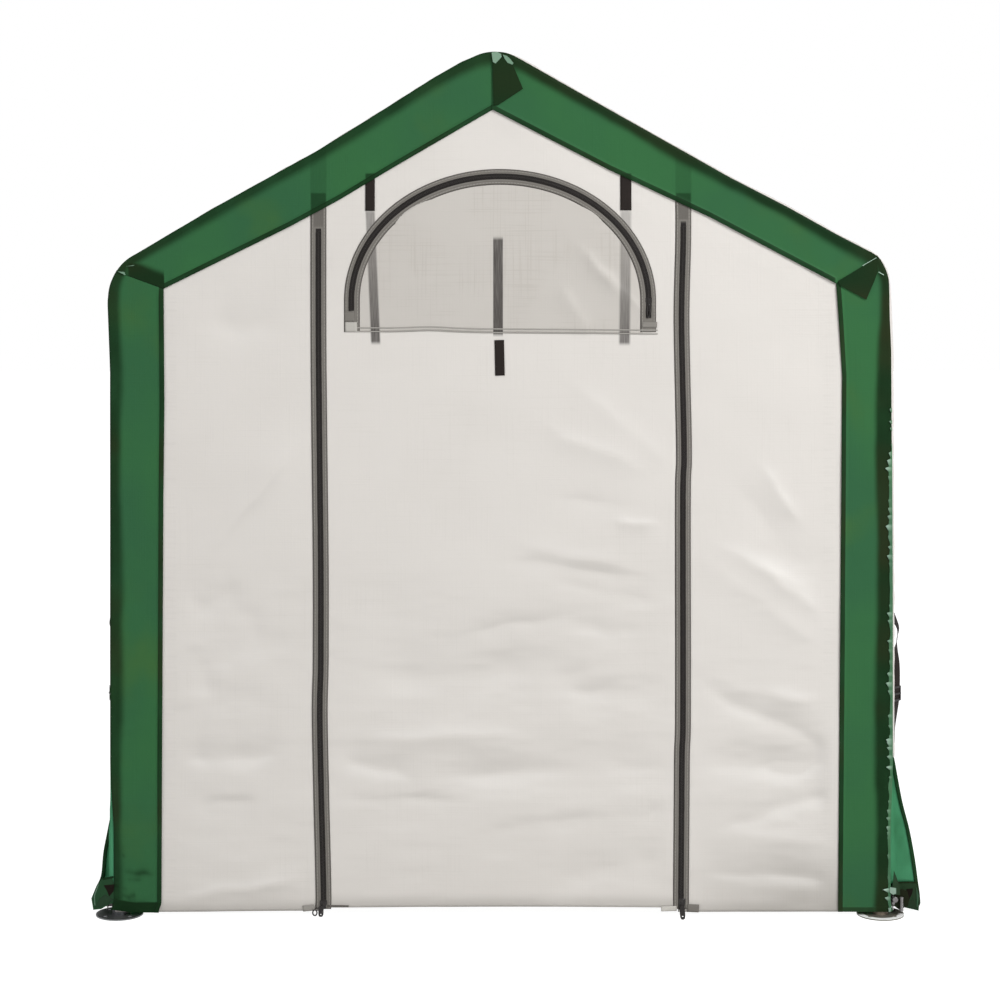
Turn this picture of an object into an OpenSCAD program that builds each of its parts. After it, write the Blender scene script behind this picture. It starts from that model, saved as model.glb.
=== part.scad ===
// Walk-in peak-roof polytunnel greenhouse: three bent-tube ribs under a sewn sheet cover.
// X runs across the house, Y from the door end to the rear, Z up. Millimetres.
// The origin is on the ground in the middle of the plan.

/* [House] */
// Distance between the leg centrelines across the house
rib_span = 1750; // [1500:10:2200]
// Height of the eave corner on the rib centreline
eave_height = 1476; // [1300:1:1700]
// Height of the ridge corner on the rib centreline
ridge_height = 1974; // [1850:1:2300]
// Distance from one rib to the next
rib_spacing = 1200; // [800:10:1500]

/* [Frame tubes] */
// Outside diameter of the frame tube
tube_d = 34.9; // [30:0.1:42]
// Wall of the frame tube
tube_wall = 1.2; // [0.8:0.1:2]
// Centreline radius of the tube bends
bend_radius = 85; // [75:1:110]
// Straight tail at each end of an elbow
elbow_tail = 95; // [80:1:140]
// Length of the swaged end that slides into the next tube
spigot_len = 55; // [40:1:70]
// Length of the taper that leads to a swaged end
swage_taper = 6; // [4:0.5:12]
// Radial clearance of a swaged end inside the next tube
spigot_fit = 0.2; // [0.1:0.05:0.4]
// Clearance between a long rail and the ribs it runs under
rail_fit = 0.3; // [0.2:0.1:1]
// How far a rail end stays back from the outer face of the end ribs
rail_end_inset = 5; // [2:0.5:12]
// Plate thickness of the rail brackets
bracket_t = 3; // [2:0.5:5]
// Rim of bracket plate left round the rail
bracket_rim = 4; // [3:0.5:8]
// Width of the bracket tongue on the side of the rib
bracket_w = 22; // [14:1:30]

/* [Feet] */
// Diameter of a foot plate
foot_d = 108; // [90:1:140]
// Thickness of a foot plate
foot_t = 3; // [2:0.5:5]
// Length of the stub that stands inside the leg
stub_len = 60; // [40:1:90]
// Wall of the stub
stub_wall = 2; // [1.5:0.1:3]
// Diameter of the anchor holes
anchor_d = 10; // [8:0.5:12]
// Pitch circle of the anchor holes
anchor_pcd = 80; // [66:1:90]

/* [Base rails] */
// Outside diameter of a base rail
base_rail_d = 25.4; // [20:0.1:32]
// Wall of a base rail
base_rail_wall = 1; // [0.8:0.1:2]
// How far outside the leg centreline a base rail lies
base_rail_reach = 47; // [42:1:90]
// Height of the base rail centreline
base_rail_z = 31; // [24:1:60]
// Metal thickness of the base rail clamps
clamp_t = 3; // [2:0.5:5]
// Height of the clamp saddle on the leg
clamp_h = 26; // [20:1:40]
// Length of the clamp eye along the base rail
clamp_eye_len = 16; // [10:1:24]
// Clearance of the clamps on the tubes
clamp_fit = 0.2; // [0.1:0.05:0.4]

/* [Cover] */
// Thickness of the cover sheet
cover_t = 1; // [0.5:0.1:2]
// Clearance between the frame tubes and the cover
cover_gap = 0.3; // [0.2:0.1:1]
// Clearance along a sewn seam
seam_gap = 0.25; // [0.1:0.05:0.5]
// Height of the seam between a wall and its skirt
skirt_top = 365; // [250:5:500]
// Clearance between a skirt end and the base rail clamps
skirt_clear = 6; // [4:1:40]
// Clearance of the hem pocket round the base rail
hem_fit = 0.3; // [0.2:0.1:1]
// Ground clearance of the side panels and leg trims
panel_clear = 6; // [5:1:30]
// Ground clearance of the door panel and its zips
door_clear = 14; // [8:1:40]

/* [Trim] */
// Width of the leg trim
leg_trim_w = 119; // [90:1:150]
// Width of the roof trim at the ridge
ridge_trim_w = 122; // [95:1:150]
// Width of the roof trim at the eave
eave_trim_w = 92; // [75:1:125]
// Sideways offset of the ridge seam in the trim
apex_offset = -16; // [-30:1:30]
// Thickness of the trim sheet
trim_t = 1; // [0.5:0.1:2]
// Width of the bound edge of the trim
binding_w = 10; // [6:1:16]
// Thickness of the bound edge
binding_t = 1.8; // [1.2:0.1:3]

/* [Door zips] */
// Distance from the middle of the door to a zip
zip_x = 419; // [380:1:480]
// Width of the zip tape
zip_tape_w = 36; // [28:1:46]
// Width of the zip coil
coil_w = 13; // [8:0.5:16]
// Height of the coil above the tape
coil_t = 1.8; // [1.2:0.1:3]
// Gap between the top of the coil and the edge of the trim
zip_top_gap = 49; // [30:1:90]
// Width of a slider
slider_w = 17; // [14:0.5:22]
// Height of a slider
slider_h = 24; // [16:1:32]
// Thickness of a slider
slider_t = 4; // [3.2:0.1:6]
// Width of a pull tab
pull_w = 9; // [6:0.5:13]
// Length of a pull tab
pull_len = 32; // [26:1:40]
// Thickness of a pull tab
pull_t = 1.6; // [1:0.1:3]
// Diameter of the hole in a pull tab
pull_hole_d = 4; // [2:0.5:5]

/* [Vents] */
// Width of the half-moon vent over its zip tape
vent_w = 720; // [600:2:740]
// Height of the vent over its zip tape
vent_h = 372; // [320:1:390]
// Height of the straight sides under the arch
vent_side_h = 72; // [50:1:100]
// Gap between the vent and the peak of the trim edge
vent_top_gap = 143; // [120:1:200]
// Width of the vent zip tape
vent_tape_w = 34.5; // [28:0.5:42]
// Width of the sewn band under the vent
vent_band_w = 11; // [8:0.5:20]
// Length of bare tape under each end of the vent coil
vent_stop_h = 34; // [20:1:50]
// Thickness of the insect screen
screen_t = 0.6; // [0.4:0.1:1.2]
// Width of the sewn margin of the screen on the back of the tape
screen_margin = 24; // [15:1:26]

/* [Straps] */
// Width of the webbing
strap_w = 24; // [18:1:32]
// Thickness of the webbing
strap_t = 1.5; // [1:0.1:2.5]
// Distance from the middle of the door to a roll-up tie
tie_x = 293; // [260:1:330]
// Gap between the top of a roll-up tie and the trim edge
tie_gap = 3; // [2:0.5:20]
// Length of the outer part of a roll-up tie
tie_outer_len = 85; // [60:1:120]
// Length of the inner part of a roll-up tie
tie_inner_len = 389; // [250:1:420]
// Length of the outer vent tie
vent_tie_len = 81; // [60:1:120]
// Gap between the vent and its outer tie
vent_tie_gap = 19; // [10:1:40]
// Length of the inner vent tie
vent_strap_len = 223; // [150:1:260]
// How far the inner vent tie hangs under the vent
vent_strap_drop = 8; // [4:1:30]
// Height of a side strap anchor above the skirt seam
side_strap_rise = 330; // [300:5:400]
// Length of a side strap from its anchor down
side_strap_len = 315; // [280:1:330]
// How far a side strap stands off the wall
side_strap_out = 27; // [15:1:40]
// Distance of a side strap from the end rib
side_strap_back = 25; // [20:1:150]
// Height of a strap buckle
buckle_h = 34; // [24:1:44]
// Metal thickness of a strap buckle
buckle_t = 3; // [2:0.5:5]
// Clearance of the webbing in its buckle
buckle_fit = 0.2; // [0.1:0.05:0.6]

/* [Hidden] */
$fn = 96;
// Overrun of every cutting shape past the face it cuts
overrun = 20;
// Easing that keeps a round stretch just inside the straight faces it runs into
arc_ease = 0.03;
// Angle by which a round stretch laps into the straight ones
arc_lap = 1;
// Ends of the house and sides of the house
front = -1;
rear = 1;
left = -1;
right = 1;
// Colours
steel = "#b9bcc0";
dark_steel = "#6d7074";
sheet_white = "#dedad4";
sheet_green = "#37694a";
webbing_black = "#2d2726";
tape_grey = "#82807a";
screen_grey = "#8f8d88";

// Rib outline on the tube centreline
half_span = rib_span / 2;
roof_rise = ridge_height - eave_height;
slope = atan2(roof_rise, half_span);
eave_turn = 90 - slope;
ridge_turn = 2 * slope;
eave_tangent = bend_radius * tan(eave_turn / 2);
ridge_tangent = bend_radius * tan(slope);
eave_centre = [half_span - bend_radius, eave_height - eave_tangent];
ridge_centre = [0, ridge_height - bend_radius / cos(slope)];
// Unit vectors square to the right-hand slope and up along it
slope_normal = [cos(eave_turn), sin(eave_turn)];
slope_along = [-sin(eave_turn), cos(eave_turn)];

// Tube lengths between the ends of the elbows
tube_r = tube_d / 2;
spigot_r = tube_r - tube_wall - spigot_fit;
leg_len = eave_centre.y - elbow_tail - foot_t;
slope_len = half_span / cos(slope);
rafter_len = slope_len - eave_tangent - ridge_tangent - 2 * elbow_tail;
rafter_foot = eave_centre + bend_radius * slope_normal + elbow_tail * slope_along;

// Long rails under the ribs
rail_half_len = rib_spacing + tube_r - rail_end_inset;
rail_drop = bend_radius - tube_d - rail_fit;
ridge_rail_at = ridge_centre + [0, rail_drop];
eave_rail_at = eave_centre + rail_drop * [cos(eave_turn / 2), sin(eave_turn / 2)];
// Bracket tongue reach past the rib centreline, as a share of the tube diameter
bracket_tip_share = 0.25;
bracket_reach = tube_d * (1 + bracket_tip_share) + rail_fit;

// Offsets of the cover faces from the rib centreline
cover_in = tube_r + cover_gap;
cover_out = cover_in + cover_t;
panel_edge = cover_in - seam_gap;
// Distances of the end faces from the middle of the house
end_in = rib_spacing + cover_in;
end_out = end_in + cover_t;

// Skirt and base rail
base_rail_x = half_span + base_rail_reach;
hem_in = base_rail_d / 2 + hem_fit;
hem_out = hem_in + cover_t;
skirt_half_len = rib_spacing - clamp_eye_len - skirt_clear;
// Where the skirt sheet meets the hem pocket, as a share of the sheet thickness
hem_lap_share = 0.35;
hem_lap_r = hem_in + hem_lap_share * cover_t;
skirt_head = [half_span + (cover_in + cover_out) / 2, skirt_top];
hem_centre = [base_rail_x, base_rail_z];
skirt_run = norm(hem_centre - skirt_head);
skirt_angle = atan2(hem_centre.y - skirt_head.y, hem_centre.x - skirt_head.x)
    + asin(hem_lap_r / skirt_run);
skirt_dir = [cos(skirt_angle), sin(skirt_angle)];
skirt_side = [-skirt_dir.y, skirt_dir.x];
skirt_foot = skirt_head + sqrt(skirt_run * skirt_run - hem_lap_r * hem_lap_r) * skirt_dir;

// Inner edge of the trim: peak point and right-hand eave corner
trim_out_x = half_span + cover_out;
trim_out_z = ridge_height + cover_out / cos(slope) - trim_out_x * tan(slope);
trim_peak = [apex_offset, ridge_height + (cover_out - ridge_trim_w) / cos(slope)];
trim_corner = [trim_out_x - leg_trim_w,
    trim_out_z + leg_trim_w * tan(slope) - eave_trim_w / cos(slope)];
binding_rise = binding_w / cos(slope);
// Reach of the mitre line past the outer corner, as a multiple of the mitre length
mitre_reach_share = 3;

// Height of the trim edge over a point across the house
function trim_edge_z(x) =
    let (corner_x = x < trim_peak.x ? -trim_corner.x : trim_corner.x)
    trim_peak.y + (x - trim_peak.x) * (trim_corner.y - trim_peak.y) / (corner_x - trim_peak.x);

// Door zips and slider heights
zip_top = min(trim_edge_z(-zip_x), trim_edge_z(zip_x)) - zip_top_gap;
slider_z = door_clear + pull_len - slider_h / 2;
// Slider outline, as shares of its width and height
slider_shares = [[-0.5, 1], [0.5, 1], [0.5, 0.55], [0.3, 0], [-0.3, 0], [-0.5, 0.55]];

// Vent heights
vent_base = trim_peak.y - vent_top_gap - vent_h;
vent_spring = vent_base + vent_side_h;
vent_rise = vent_h - vent_side_h;
vent_coil_inset = (vent_tape_w - coil_w) / 2;
arch_steps = 28;

// Side straps: stand-off and drop along the strap
side_strap_shares = [[0, 0], [0, 0.1], [1, 0.15], [0.72, 0.5], [0.72, 0.72], [0.35, 1]];
buckle_drop_share = 0.61;
buckle_out_share = 0.72;
wall_face = half_span + cover_out;
side_strap_y = rib_spacing - side_strap_back;

// Stands a drawing in the rib plane, X across and Y up, at a distance along the house
module in_rib_plane(y) {
    translate([0, y, 0])
        rotate([90, 0, 0])
            children();
}

// A sheet outline thickened outward from an end of the house
module end_slab(distance, thickness, end) {
    in_rib_plane(end == front ? -distance : distance + thickness)
        linear_extrude(thickness)
            children();
}

// A profile drawn in the rib plane and run along the house
module along_house(half_len) {
    in_rib_plane(half_len)
        linear_extrude(2 * half_len)
            children();
}

// Draws a right-hand piece on either side of the house
module on_side(side) {
    mirror([side == left ? 1 : 0, 0, 0])
        children();
}

module tube_section(diameter, wall) {
    difference() {
        circle(d = diameter);
        circle(d = diameter - 2 * wall);
    }
}

// Straight tube with a swaged spigot at its head, and at its foot too if asked
module swaged_tube(length, foot_spigot) {
    foot_outer = foot_spigot
        ? [[spigot_r, -spigot_len], [spigot_r, 0], [tube_r, swage_taper]]
        : [[tube_r, 0]];
    foot_inner = foot_spigot
        ? [[tube_r - tube_wall, swage_taper], [spigot_r - tube_wall, 0], [spigot_r - tube_wall, -spigot_len]]
        : [[tube_r - tube_wall, 0]];
    head_outer = [[tube_r, length - swage_taper], [spigot_r, length], [spigot_r, length + spigot_len]];
    head_inner = [
        [spigot_r - tube_wall, length + spigot_len],
        [spigot_r - tube_wall, length],
        [tube_r - tube_wall, length - swage_taper]
    ];
    rotate_extrude()
        polygon(concat(foot_outer, head_outer, head_inner, foot_inner));
}

// Bent tube with a straight tail at each end, its bend centre at the origin
module elbow(turn) {
    rotate([0, 0, -arc_lap])
        rotate_extrude(angle = turn + 2 * arc_lap)
            translate([bend_radius, 0])
                tube_section(tube_d - 2 * arc_ease, tube_wall - 2 * arc_ease);
    translate([bend_radius, 0, 0])
        rotate([90, 0, 0])
            linear_extrude(elbow_tail)
                tube_section(tube_d, tube_wall);
    rotate([0, 0, turn])
        translate([bend_radius, 0, 0])
            rotate([-90, 0, 0])
                linear_extrude(elbow_tail)
                    tube_section(tube_d, tube_wall);
}

// Slice of a ring between two angles
module arc_band(inner_r, outer_r, from, to) {
    reach = 2 * outer_r;
    middle = (from + to) / 2;
    intersection() {
        difference() {
            circle(r = outer_r - arc_ease);
            circle(r = inner_r + arc_ease);
        }
        polygon([
            [0, 0],
            reach * [cos(from), sin(from)],
            reach * [cos(middle), sin(middle)],
            reach * [cos(to), sin(to)]
        ]);
    }
}

// Whole end of the house, a set distance outside the rib centreline, down to the given height
module house_outline(offset_out, bottom) {
    arc_r = bend_radius + offset_out;
    half = [
        [half_span + offset_out, bottom],
        [half_span + offset_out, eave_centre.y],
        eave_centre + arc_r * slope_normal,
        ridge_centre + arc_r * slope_normal
    ];
    mirrored = [for (i = [len(half) - 1:-1:0]) [-half[i].x, half[i].y]];
    polygon(concat(half, mirrored));
    for (centre = [eave_centre, ridge_centre, [-eave_centre.x, eave_centre.y]])
        translate(centre)
            circle(r = arc_r - arc_ease);
}

// Band between two heights or two places across the house
module across(from, to, bottom) {
    translate([from, bottom])
        square([to - from, ridge_height + cover_out + overrun - bottom]);
}

// Half-moon outline of the vent, drawn in from its edge, on its own base line
module vent_outline(inset, base_inset) {
    half_w = vent_w / 2 - inset;
    arch = [
        for (i = [0:arch_steps])
            [half_w * cos(180 * i / arch_steps),
             vent_spring + (vent_rise - inset) * sin(180 * i / arch_steps)]
    ];
    base_z = vent_base + base_inset;
    polygon(concat([[half_w, base_z]], arch, [[-half_w, base_z]]));
}

// Legs, one at each side of a rib
module legs(y) {
    color(steel)
        for (side = [left, right])
            translate([side * half_span, y, foot_t])
                swaged_tube(leg_len, false);
}

module front_legs() { legs(-rib_spacing); }
module middle_legs() { legs(0); }
module rear_legs() { legs(rib_spacing); }

// Rafters, one up each slope of a rib
module rafters(y) {
    color(steel)
        for (side = [left, right])
            on_side(side)
                in_rib_plane(y)
                    translate(rafter_foot)
                        rotate([0, 0, eave_turn])
                            rotate([-90, 0, 0])
                                swaged_tube(rafter_len, true);
}

module front_rafters() { rafters(-rib_spacing); }
module middle_rafters() { rafters(0); }
module rear_rafters() { rafters(rib_spacing); }

module eave_elbows() {
    color(steel)
        for (y = [-rib_spacing, 0, rib_spacing])
            for (side = [left, right])
                on_side(side)
                    in_rib_plane(y)
                        translate(eave_centre)
                            elbow(eave_turn);
}

module ridge_elbows() {
    color(steel)
        for (y = [-rib_spacing, 0, rib_spacing])
            in_rib_plane(y)
                translate(ridge_centre)
                    rotate([0, 0, eave_turn])
                        elbow(ridge_turn);
}

// Round foot with a stub for the leg and four anchor holes
module foot_plate() {
    difference() {
        cylinder(d = foot_d, h = foot_t);
        for (corner = [45:90:315])
            rotate([0, 0, corner])
                translate([anchor_pcd / 2, 0, -overrun])
                    cylinder(d = anchor_d, h = foot_t + 2 * overrun);
    }
    translate([0, 0, foot_t])
        linear_extrude(stub_len)
            tube_section(2 * spigot_r, stub_wall);
}

module foot_plates() {
    color(dark_steel)
        for (y = [-rib_spacing, 0, rib_spacing])
            for (side = [left, right])
                translate([side * half_span, y, 0])
                    foot_plate();
}

// Tube that runs the length of the house
module long_rail(at, diameter, wall) {
    translate(at)
        tube_section(diameter, wall);
}

module ridge_rail() {
    color(steel)
        along_house(rail_half_len)
            long_rail(ridge_rail_at, tube_d, tube_wall);
}

module eave_rail(side) {
    color(steel)
        on_side(side)
            along_house(rail_half_len)
                long_rail(eave_rail_at, tube_d, tube_wall);
}

module left_eave_rail() { eave_rail(left); }
module right_eave_rail() { eave_rail(right); }

// Flat plate with an eye for the rail and a tongue that lies on the side of the rib
module bracket_outline() {
    difference() {
        union() {
            circle(d = tube_d + 2 * rail_fit + 2 * bracket_rim);
            translate([0, -bracket_w / 2])
                square([bracket_reach, bracket_w]);
        }
        circle(d = tube_d + 2 * rail_fit);
    }
}

// Brackets of one rib, on the face of the rib that looks along the house
module rib_brackets(y, face) {
    near = y + face * (tube_r + rail_fit);
    in_rib_plane(face > 0 ? near + bracket_t : near)
        linear_extrude(bracket_t) {
            translate(ridge_rail_at)
                rotate(90)
                    bracket_outline();
            for (side = [left, right])
                on_side(side)
                    translate(eave_rail_at)
                        rotate(eave_turn / 2)
                            bracket_outline();
        }
}

module rail_brackets() {
    color(dark_steel) {
        rib_brackets(-rib_spacing, rear);
        rib_brackets(0, front);
        rib_brackets(0, rear);
        rib_brackets(rib_spacing, front);
    }
}

module base_rail(side) {
    color(steel)
        on_side(side)
            along_house(rail_half_len)
                long_rail(hem_centre, base_rail_d, base_rail_wall);
}

module left_base_rail() { base_rail(left); }
module right_base_rail() { base_rail(right); }

// Half saddle on the inner face of a leg, with a bar out to an eye on the base rail
module base_rail_clamp() {
    saddle_d = tube_d + 2 * clamp_fit;
    eye_d = base_rail_d + 2 * clamp_fit;
    difference() {
        union() {
            intersection() {
                cylinder(d = saddle_d + 2 * clamp_t, h = clamp_h, center = true);
                translate([-saddle_d, 0, -clamp_h])
                    cube([2 * saddle_d, saddle_d, 2 * clamp_h]);
            }
            translate([tube_r, 0, -clamp_h / 2])
                cube([base_rail_reach - tube_r, clamp_t, clamp_h]);
            translate([base_rail_reach, 0, 0])
                rotate([-90, 0, 0])
                    cylinder(d = eye_d + 2 * clamp_t, h = clamp_eye_len);
        }
        cylinder(d = saddle_d, h = clamp_h + 2 * overrun, center = true);
        translate([base_rail_reach, -overrun, 0])
            rotate([-90, 0, 0])
                cylinder(d = eye_d, h = clamp_eye_len + 2 * overrun);
    }
}

module base_rail_clamps() {
    color(dark_steel)
        for (side = [left, right])
            for (end = [front, rear])
                on_side(side)
                    mirror([0, end == rear ? 1 : 0, 0])
                        translate([half_span, -rib_spacing, base_rail_z])
                            base_rail_clamp();
}

// Flat side wall from the skirt seam up to the start of the eave bend
module wall_cover(side) {
    color(sheet_white)
        on_side(side)
            along_house(end_out)
                translate([half_span + cover_in, skirt_top])
                    square([cover_t, eave_centre.y - skirt_top]);
}

module left_wall_cover() { wall_cover(left); }
module right_wall_cover() { wall_cover(right); }

// Roof sheet of one side: round the eave, up the slope and half way round the ridge
module roof_cover(side) {
    inner_r = bend_radius + cover_in;
    outer_r = bend_radius + cover_out;
    seam_edge = asin(seam_gap / inner_r);
    color(sheet_white)
        on_side(side)
            along_house(end_out) {
                translate(eave_centre)
                    arc_band(inner_r, outer_r, seam_edge, eave_turn + arc_lap);
                polygon([
                    eave_centre + inner_r * slope_normal,
                    eave_centre + outer_r * slope_normal,
                    ridge_centre + outer_r * slope_normal,
                    ridge_centre + inner_r * slope_normal
                ]);
                translate(ridge_centre)
                    arc_band(inner_r, outer_r, eave_turn - arc_lap, 90 - seam_edge);
            }
}

module left_roof_cover() { roof_cover(left); }
module right_roof_cover() { roof_cover(right); }

// Flared skirt with a hem pocket round the base rail
module skirt(side) {
    half_t = cover_t / 2;
    color(sheet_green)
        on_side(side)
            along_house(skirt_half_len)
                difference() {
                    union() {
                        polygon([
                            skirt_head + [half_t, 0],
                            skirt_head - [half_t, 0],
                            skirt_foot - half_t * skirt_side,
                            skirt_foot + half_t * skirt_side
                        ]);
                        translate(hem_centre)
                            circle(r = hem_out);
                    }
                    translate(hem_centre)
                        circle(r = hem_in);
                }
}

module left_skirt() { skirt(left); }
module right_skirt() { skirt(right); }

// Fixed panel between a leg and a door zip
module front_side_panel(side) {
    color(sheet_white)
        end_slab(end_in, cover_t, front)
            on_side(side)
                intersection() {
                    house_outline(panel_edge, panel_clear);
                    across(zip_x + zip_tape_w / 2 + seam_gap, half_span + cover_out, -overrun);
                }
}

module front_left_panel() { front_side_panel(left); }
module front_right_panel() { front_side_panel(right); }

// Roll-up door between the zips, with the half-moon opening of the vent
module door_panel() {
    door_half_w = zip_x - zip_tape_w / 2 - seam_gap;
    color(sheet_white)
        end_slab(end_in, cover_t, front)
            difference() {
                intersection() {
                    house_outline(panel_edge, -overrun);
                    across(-door_half_w, door_half_w, door_clear);
                }
                vent_outline(-seam_gap, -seam_gap);
            }
}

// Closed rear end in one sheet, with the same vent opening
module rear_panel() {
    color(sheet_white)
        end_slab(end_in, cover_t, rear)
            difference() {
                house_outline(panel_edge, panel_clear);
                vent_outline(-seam_gap, -seam_gap);
            }
}

// Slider with its pull tab, hanging on a coil; drawn at the middle of the slider foot
module zip_slider(end) {
    eye_z = slider_h / 2 - pull_len + pull_w / 2;
    end_slab(end_out, slider_t, end)
        polygon([for (share = slider_shares) [share[0] * slider_w, share[1] * slider_h]]);
    end_slab(end_out + slider_t, pull_t, end)
        difference() {
            union() {
                translate([-pull_w / 2, eye_z])
                    square([pull_w, slider_h / 2 - eye_z]);
                translate([0, eye_z])
                    circle(d = pull_w);
            }
            translate([0, eye_z])
                circle(d = pull_hole_d);
        }
}

// Full-height door zip: tape up to the roof, coil up to its stop, slider at the foot
module door_zip(side) {
    color(tape_grey) {
        end_slab(end_in, cover_t, front)
            intersection() {
                house_outline(panel_edge, -overrun);
                across(side * zip_x - zip_tape_w / 2, side * zip_x + zip_tape_w / 2, door_clear);
            }
        end_slab(end_out, coil_t, front)
            translate([side * zip_x - coil_w / 2, door_clear])
                square([coil_w, zip_top - door_clear]);
        translate([side * zip_x, 0, slider_z])
            zip_slider(front);
    }
}

module left_door_zip() { door_zip(left); }
module right_door_zip() { door_zip(right); }

// Half-moon sheet inside the vent zip
module flap(end) {
    color(sheet_white)
        end_slab(end_in, cover_t, end)
            vent_outline(vent_tape_w + seam_gap, vent_band_w + seam_gap);
}

module vent_flap() { flap(front); }
module rear_vent_flap() { flap(rear); }

// Arched zip of the vent with the sewn band along its foot
module arched_zip(end) {
    color(tape_grey) {
        end_slab(end_in, cover_t, end)
            difference() {
                vent_outline(0, 0);
                vent_outline(vent_tape_w, vent_band_w);
            }
        end_slab(end_out, coil_t, end)
            difference() {
                vent_outline(vent_coil_inset, vent_stop_h);
                vent_outline(vent_coil_inset + coil_w, -overrun);
            }
        translate([vent_w / 2 - vent_tape_w / 2, 0, vent_base + vent_stop_h])
            zip_slider(end);
    }
}

module vent_zip() { arched_zip(front); }
module rear_vent_zip() { arched_zip(rear); }

// Insect screen sewn on the back of the vent tape
module screen(end) {
    edge = vent_tape_w - screen_margin;
    color(screen_grey)
        end_slab(end_in - screen_t, screen_t, end)
            vent_outline(edge, vent_band_w - min(edge, vent_band_w));
}

module vent_screen() { screen(front); }
module rear_vent_screen() { screen(rear); }

// Border trim of one leg, mitred to the roof trim, with a bound inner edge
module leg_trim(end, side) {
    mitre = [trim_out_x, trim_out_z] - trim_corner;
    far = trim_corner + mitre_reach_share * mitre;
    for (layer = [[trim_t, leg_trim_w], [binding_t, binding_w]])
        end_slab(end_out, layer[0], end)
            on_side(side)
                intersection() {
                    house_outline(cover_out, panel_clear);
                    polygon([
                        trim_corner - [0, seam_gap],
                        far - [0, seam_gap],
                        [far.x, -overrun],
                        [trim_corner.x, -overrun]
                    ]);
                    across(trim_corner.x, trim_corner.x + layer[1], -overrun);
                }
}

// Border trim of one slope, from the ridge seam to the eave mitre
module roof_trim(end, side) {
    mitre = [trim_out_x, trim_out_z] - trim_corner;
    corner = [side * trim_corner.x, trim_corner.y];
    far = corner + mitre_reach_share * [side * mitre.x, mitre.y];
    peak = trim_peak + [side * seam_gap / 2, 0];
    head = ridge_height + cover_out + overrun;
    end_slab(end_out, trim_t, end)
        intersection() {
            house_outline(cover_out, 0);
            polygon([peak, corner, far, [far.x, head], [peak.x, head]]);
        }
    end_slab(end_out, binding_t, end)
        intersection() {
            house_outline(cover_out, 0);
            polygon([peak, corner, far, [far.x, head], [peak.x, head]]);
            polygon([peak, corner, corner + [0, binding_rise], peak + [0, binding_rise]]);
        }
}

module leg_trims(end) {
    color(sheet_green)
        for (side = [left, right])
            leg_trim(end, side);
}

module roof_trims(end) {
    color(sheet_green)
        for (side = [left, right])
            roof_trim(end, side);
}

module front_leg_trims() { leg_trims(front); }
module front_roof_trims() { roof_trims(front); }
module rear_leg_trims() { leg_trims(rear); }
module rear_roof_trims() { roof_trims(rear); }

// Flat strap against an end of the house, hanging down from a height
module hanging_strap(distance, end, x, top, length) {
    end_slab(distance, strap_t, end)
        translate([x - strap_w / 2, top - length])
            square([strap_w, length]);
}

// Vent ties: a short one outside under the vent, a longer one inside behind the screen
module vent_straps() {
    color(webbing_black)
        for (end = [front, rear]) {
            hanging_strap(end_out, end, 0, vent_base - vent_tie_gap, vent_tie_len);
            hanging_strap(end_in - screen_t - strap_t, end, 0,
                vent_base - vent_strap_drop + vent_strap_len, vent_strap_len);
        }
}

// Roll-up ties of the door: a short part outside, a long part inside
module door_tie_straps() {
    color(webbing_black)
        for (side = [left, right]) {
            top = trim_edge_z(side * (tie_x + strap_w / 2)) - tie_gap;
            hanging_strap(end_out, front, side * tie_x, top, tie_outer_len);
            hanging_strap(end_in - screen_t - strap_t, front, side * tie_x, top, tie_inner_len);
        }
}

// Side of a strap, point by point down from its anchor
function side_strap_points(shift) = [
    for (share = side_strap_shares)
        [wall_face + side_strap_out * share[0] + shift,
         skirt_top + side_strap_rise - side_strap_len * share[1]]
];

// Places a side strap piece near each end of a wall
module at_strap_places(side, width) {
    on_side(side)
        for (end = [front, rear])
            in_rib_plane(end * side_strap_y + width / 2)
                linear_extrude(width)
                    children();
}

// Straps that hold a rolled-up side wall
module side_straps(side) {
    near = side_strap_points(0);
    away = side_strap_points(strap_t);
    color(webbing_black)
        at_strap_places(side, strap_w)
            polygon(concat(near, [for (i = [len(away) - 1:-1:0]) away[i]]));
}

module left_side_straps() { side_straps(left); }
module right_side_straps() { side_straps(right); }

// Slide buckles, each a flat frame round its strap
module side_buckles(side) {
    slot = [strap_t + 2 * buckle_fit, strap_w + 2 * buckle_fit];
    at = [wall_face + side_strap_out * buckle_out_share + strap_t / 2,
        skirt_top + side_strap_rise - side_strap_len * buckle_drop_share];
    color(webbing_black)
        on_side(side)
            for (end = [front, rear])
                translate([at.x, end * side_strap_y, at.y - buckle_h / 2])
                    linear_extrude(buckle_h)
                        difference() {
                            square(slot + 2 * [buckle_t, buckle_t], center = true);
                            square(slot, center = true);
                        }
}

module left_side_buckles() { side_buckles(left); }
module right_side_buckles() { side_buckles(right); }

front_legs();
middle_legs();
rear_legs();
front_rafters();
middle_rafters();
rear_rafters();
eave_elbows();
ridge_elbows();
foot_plates();
ridge_rail();
left_eave_rail();
right_eave_rail();
rail_brackets();
left_base_rail();
right_base_rail();
base_rail_clamps();
left_wall_cover();
right_wall_cover();
left_skirt();
right_skirt();
left_roof_cover();
right_roof_cover();
front_left_panel();
front_right_panel();
door_panel();
rear_panel();
left_door_zip();
right_door_zip();
vent_flap();
rear_vent_flap();
vent_zip();
rear_vent_zip();
vent_screen();
rear_vent_screen();
front_leg_trims();
front_roof_trims();
rear_leg_trims();
rear_roof_trims();
vent_straps();
door_tie_straps();
left_side_straps();
right_side_straps();
left_side_buckles();
right_side_buckles();
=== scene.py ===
import math

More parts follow.
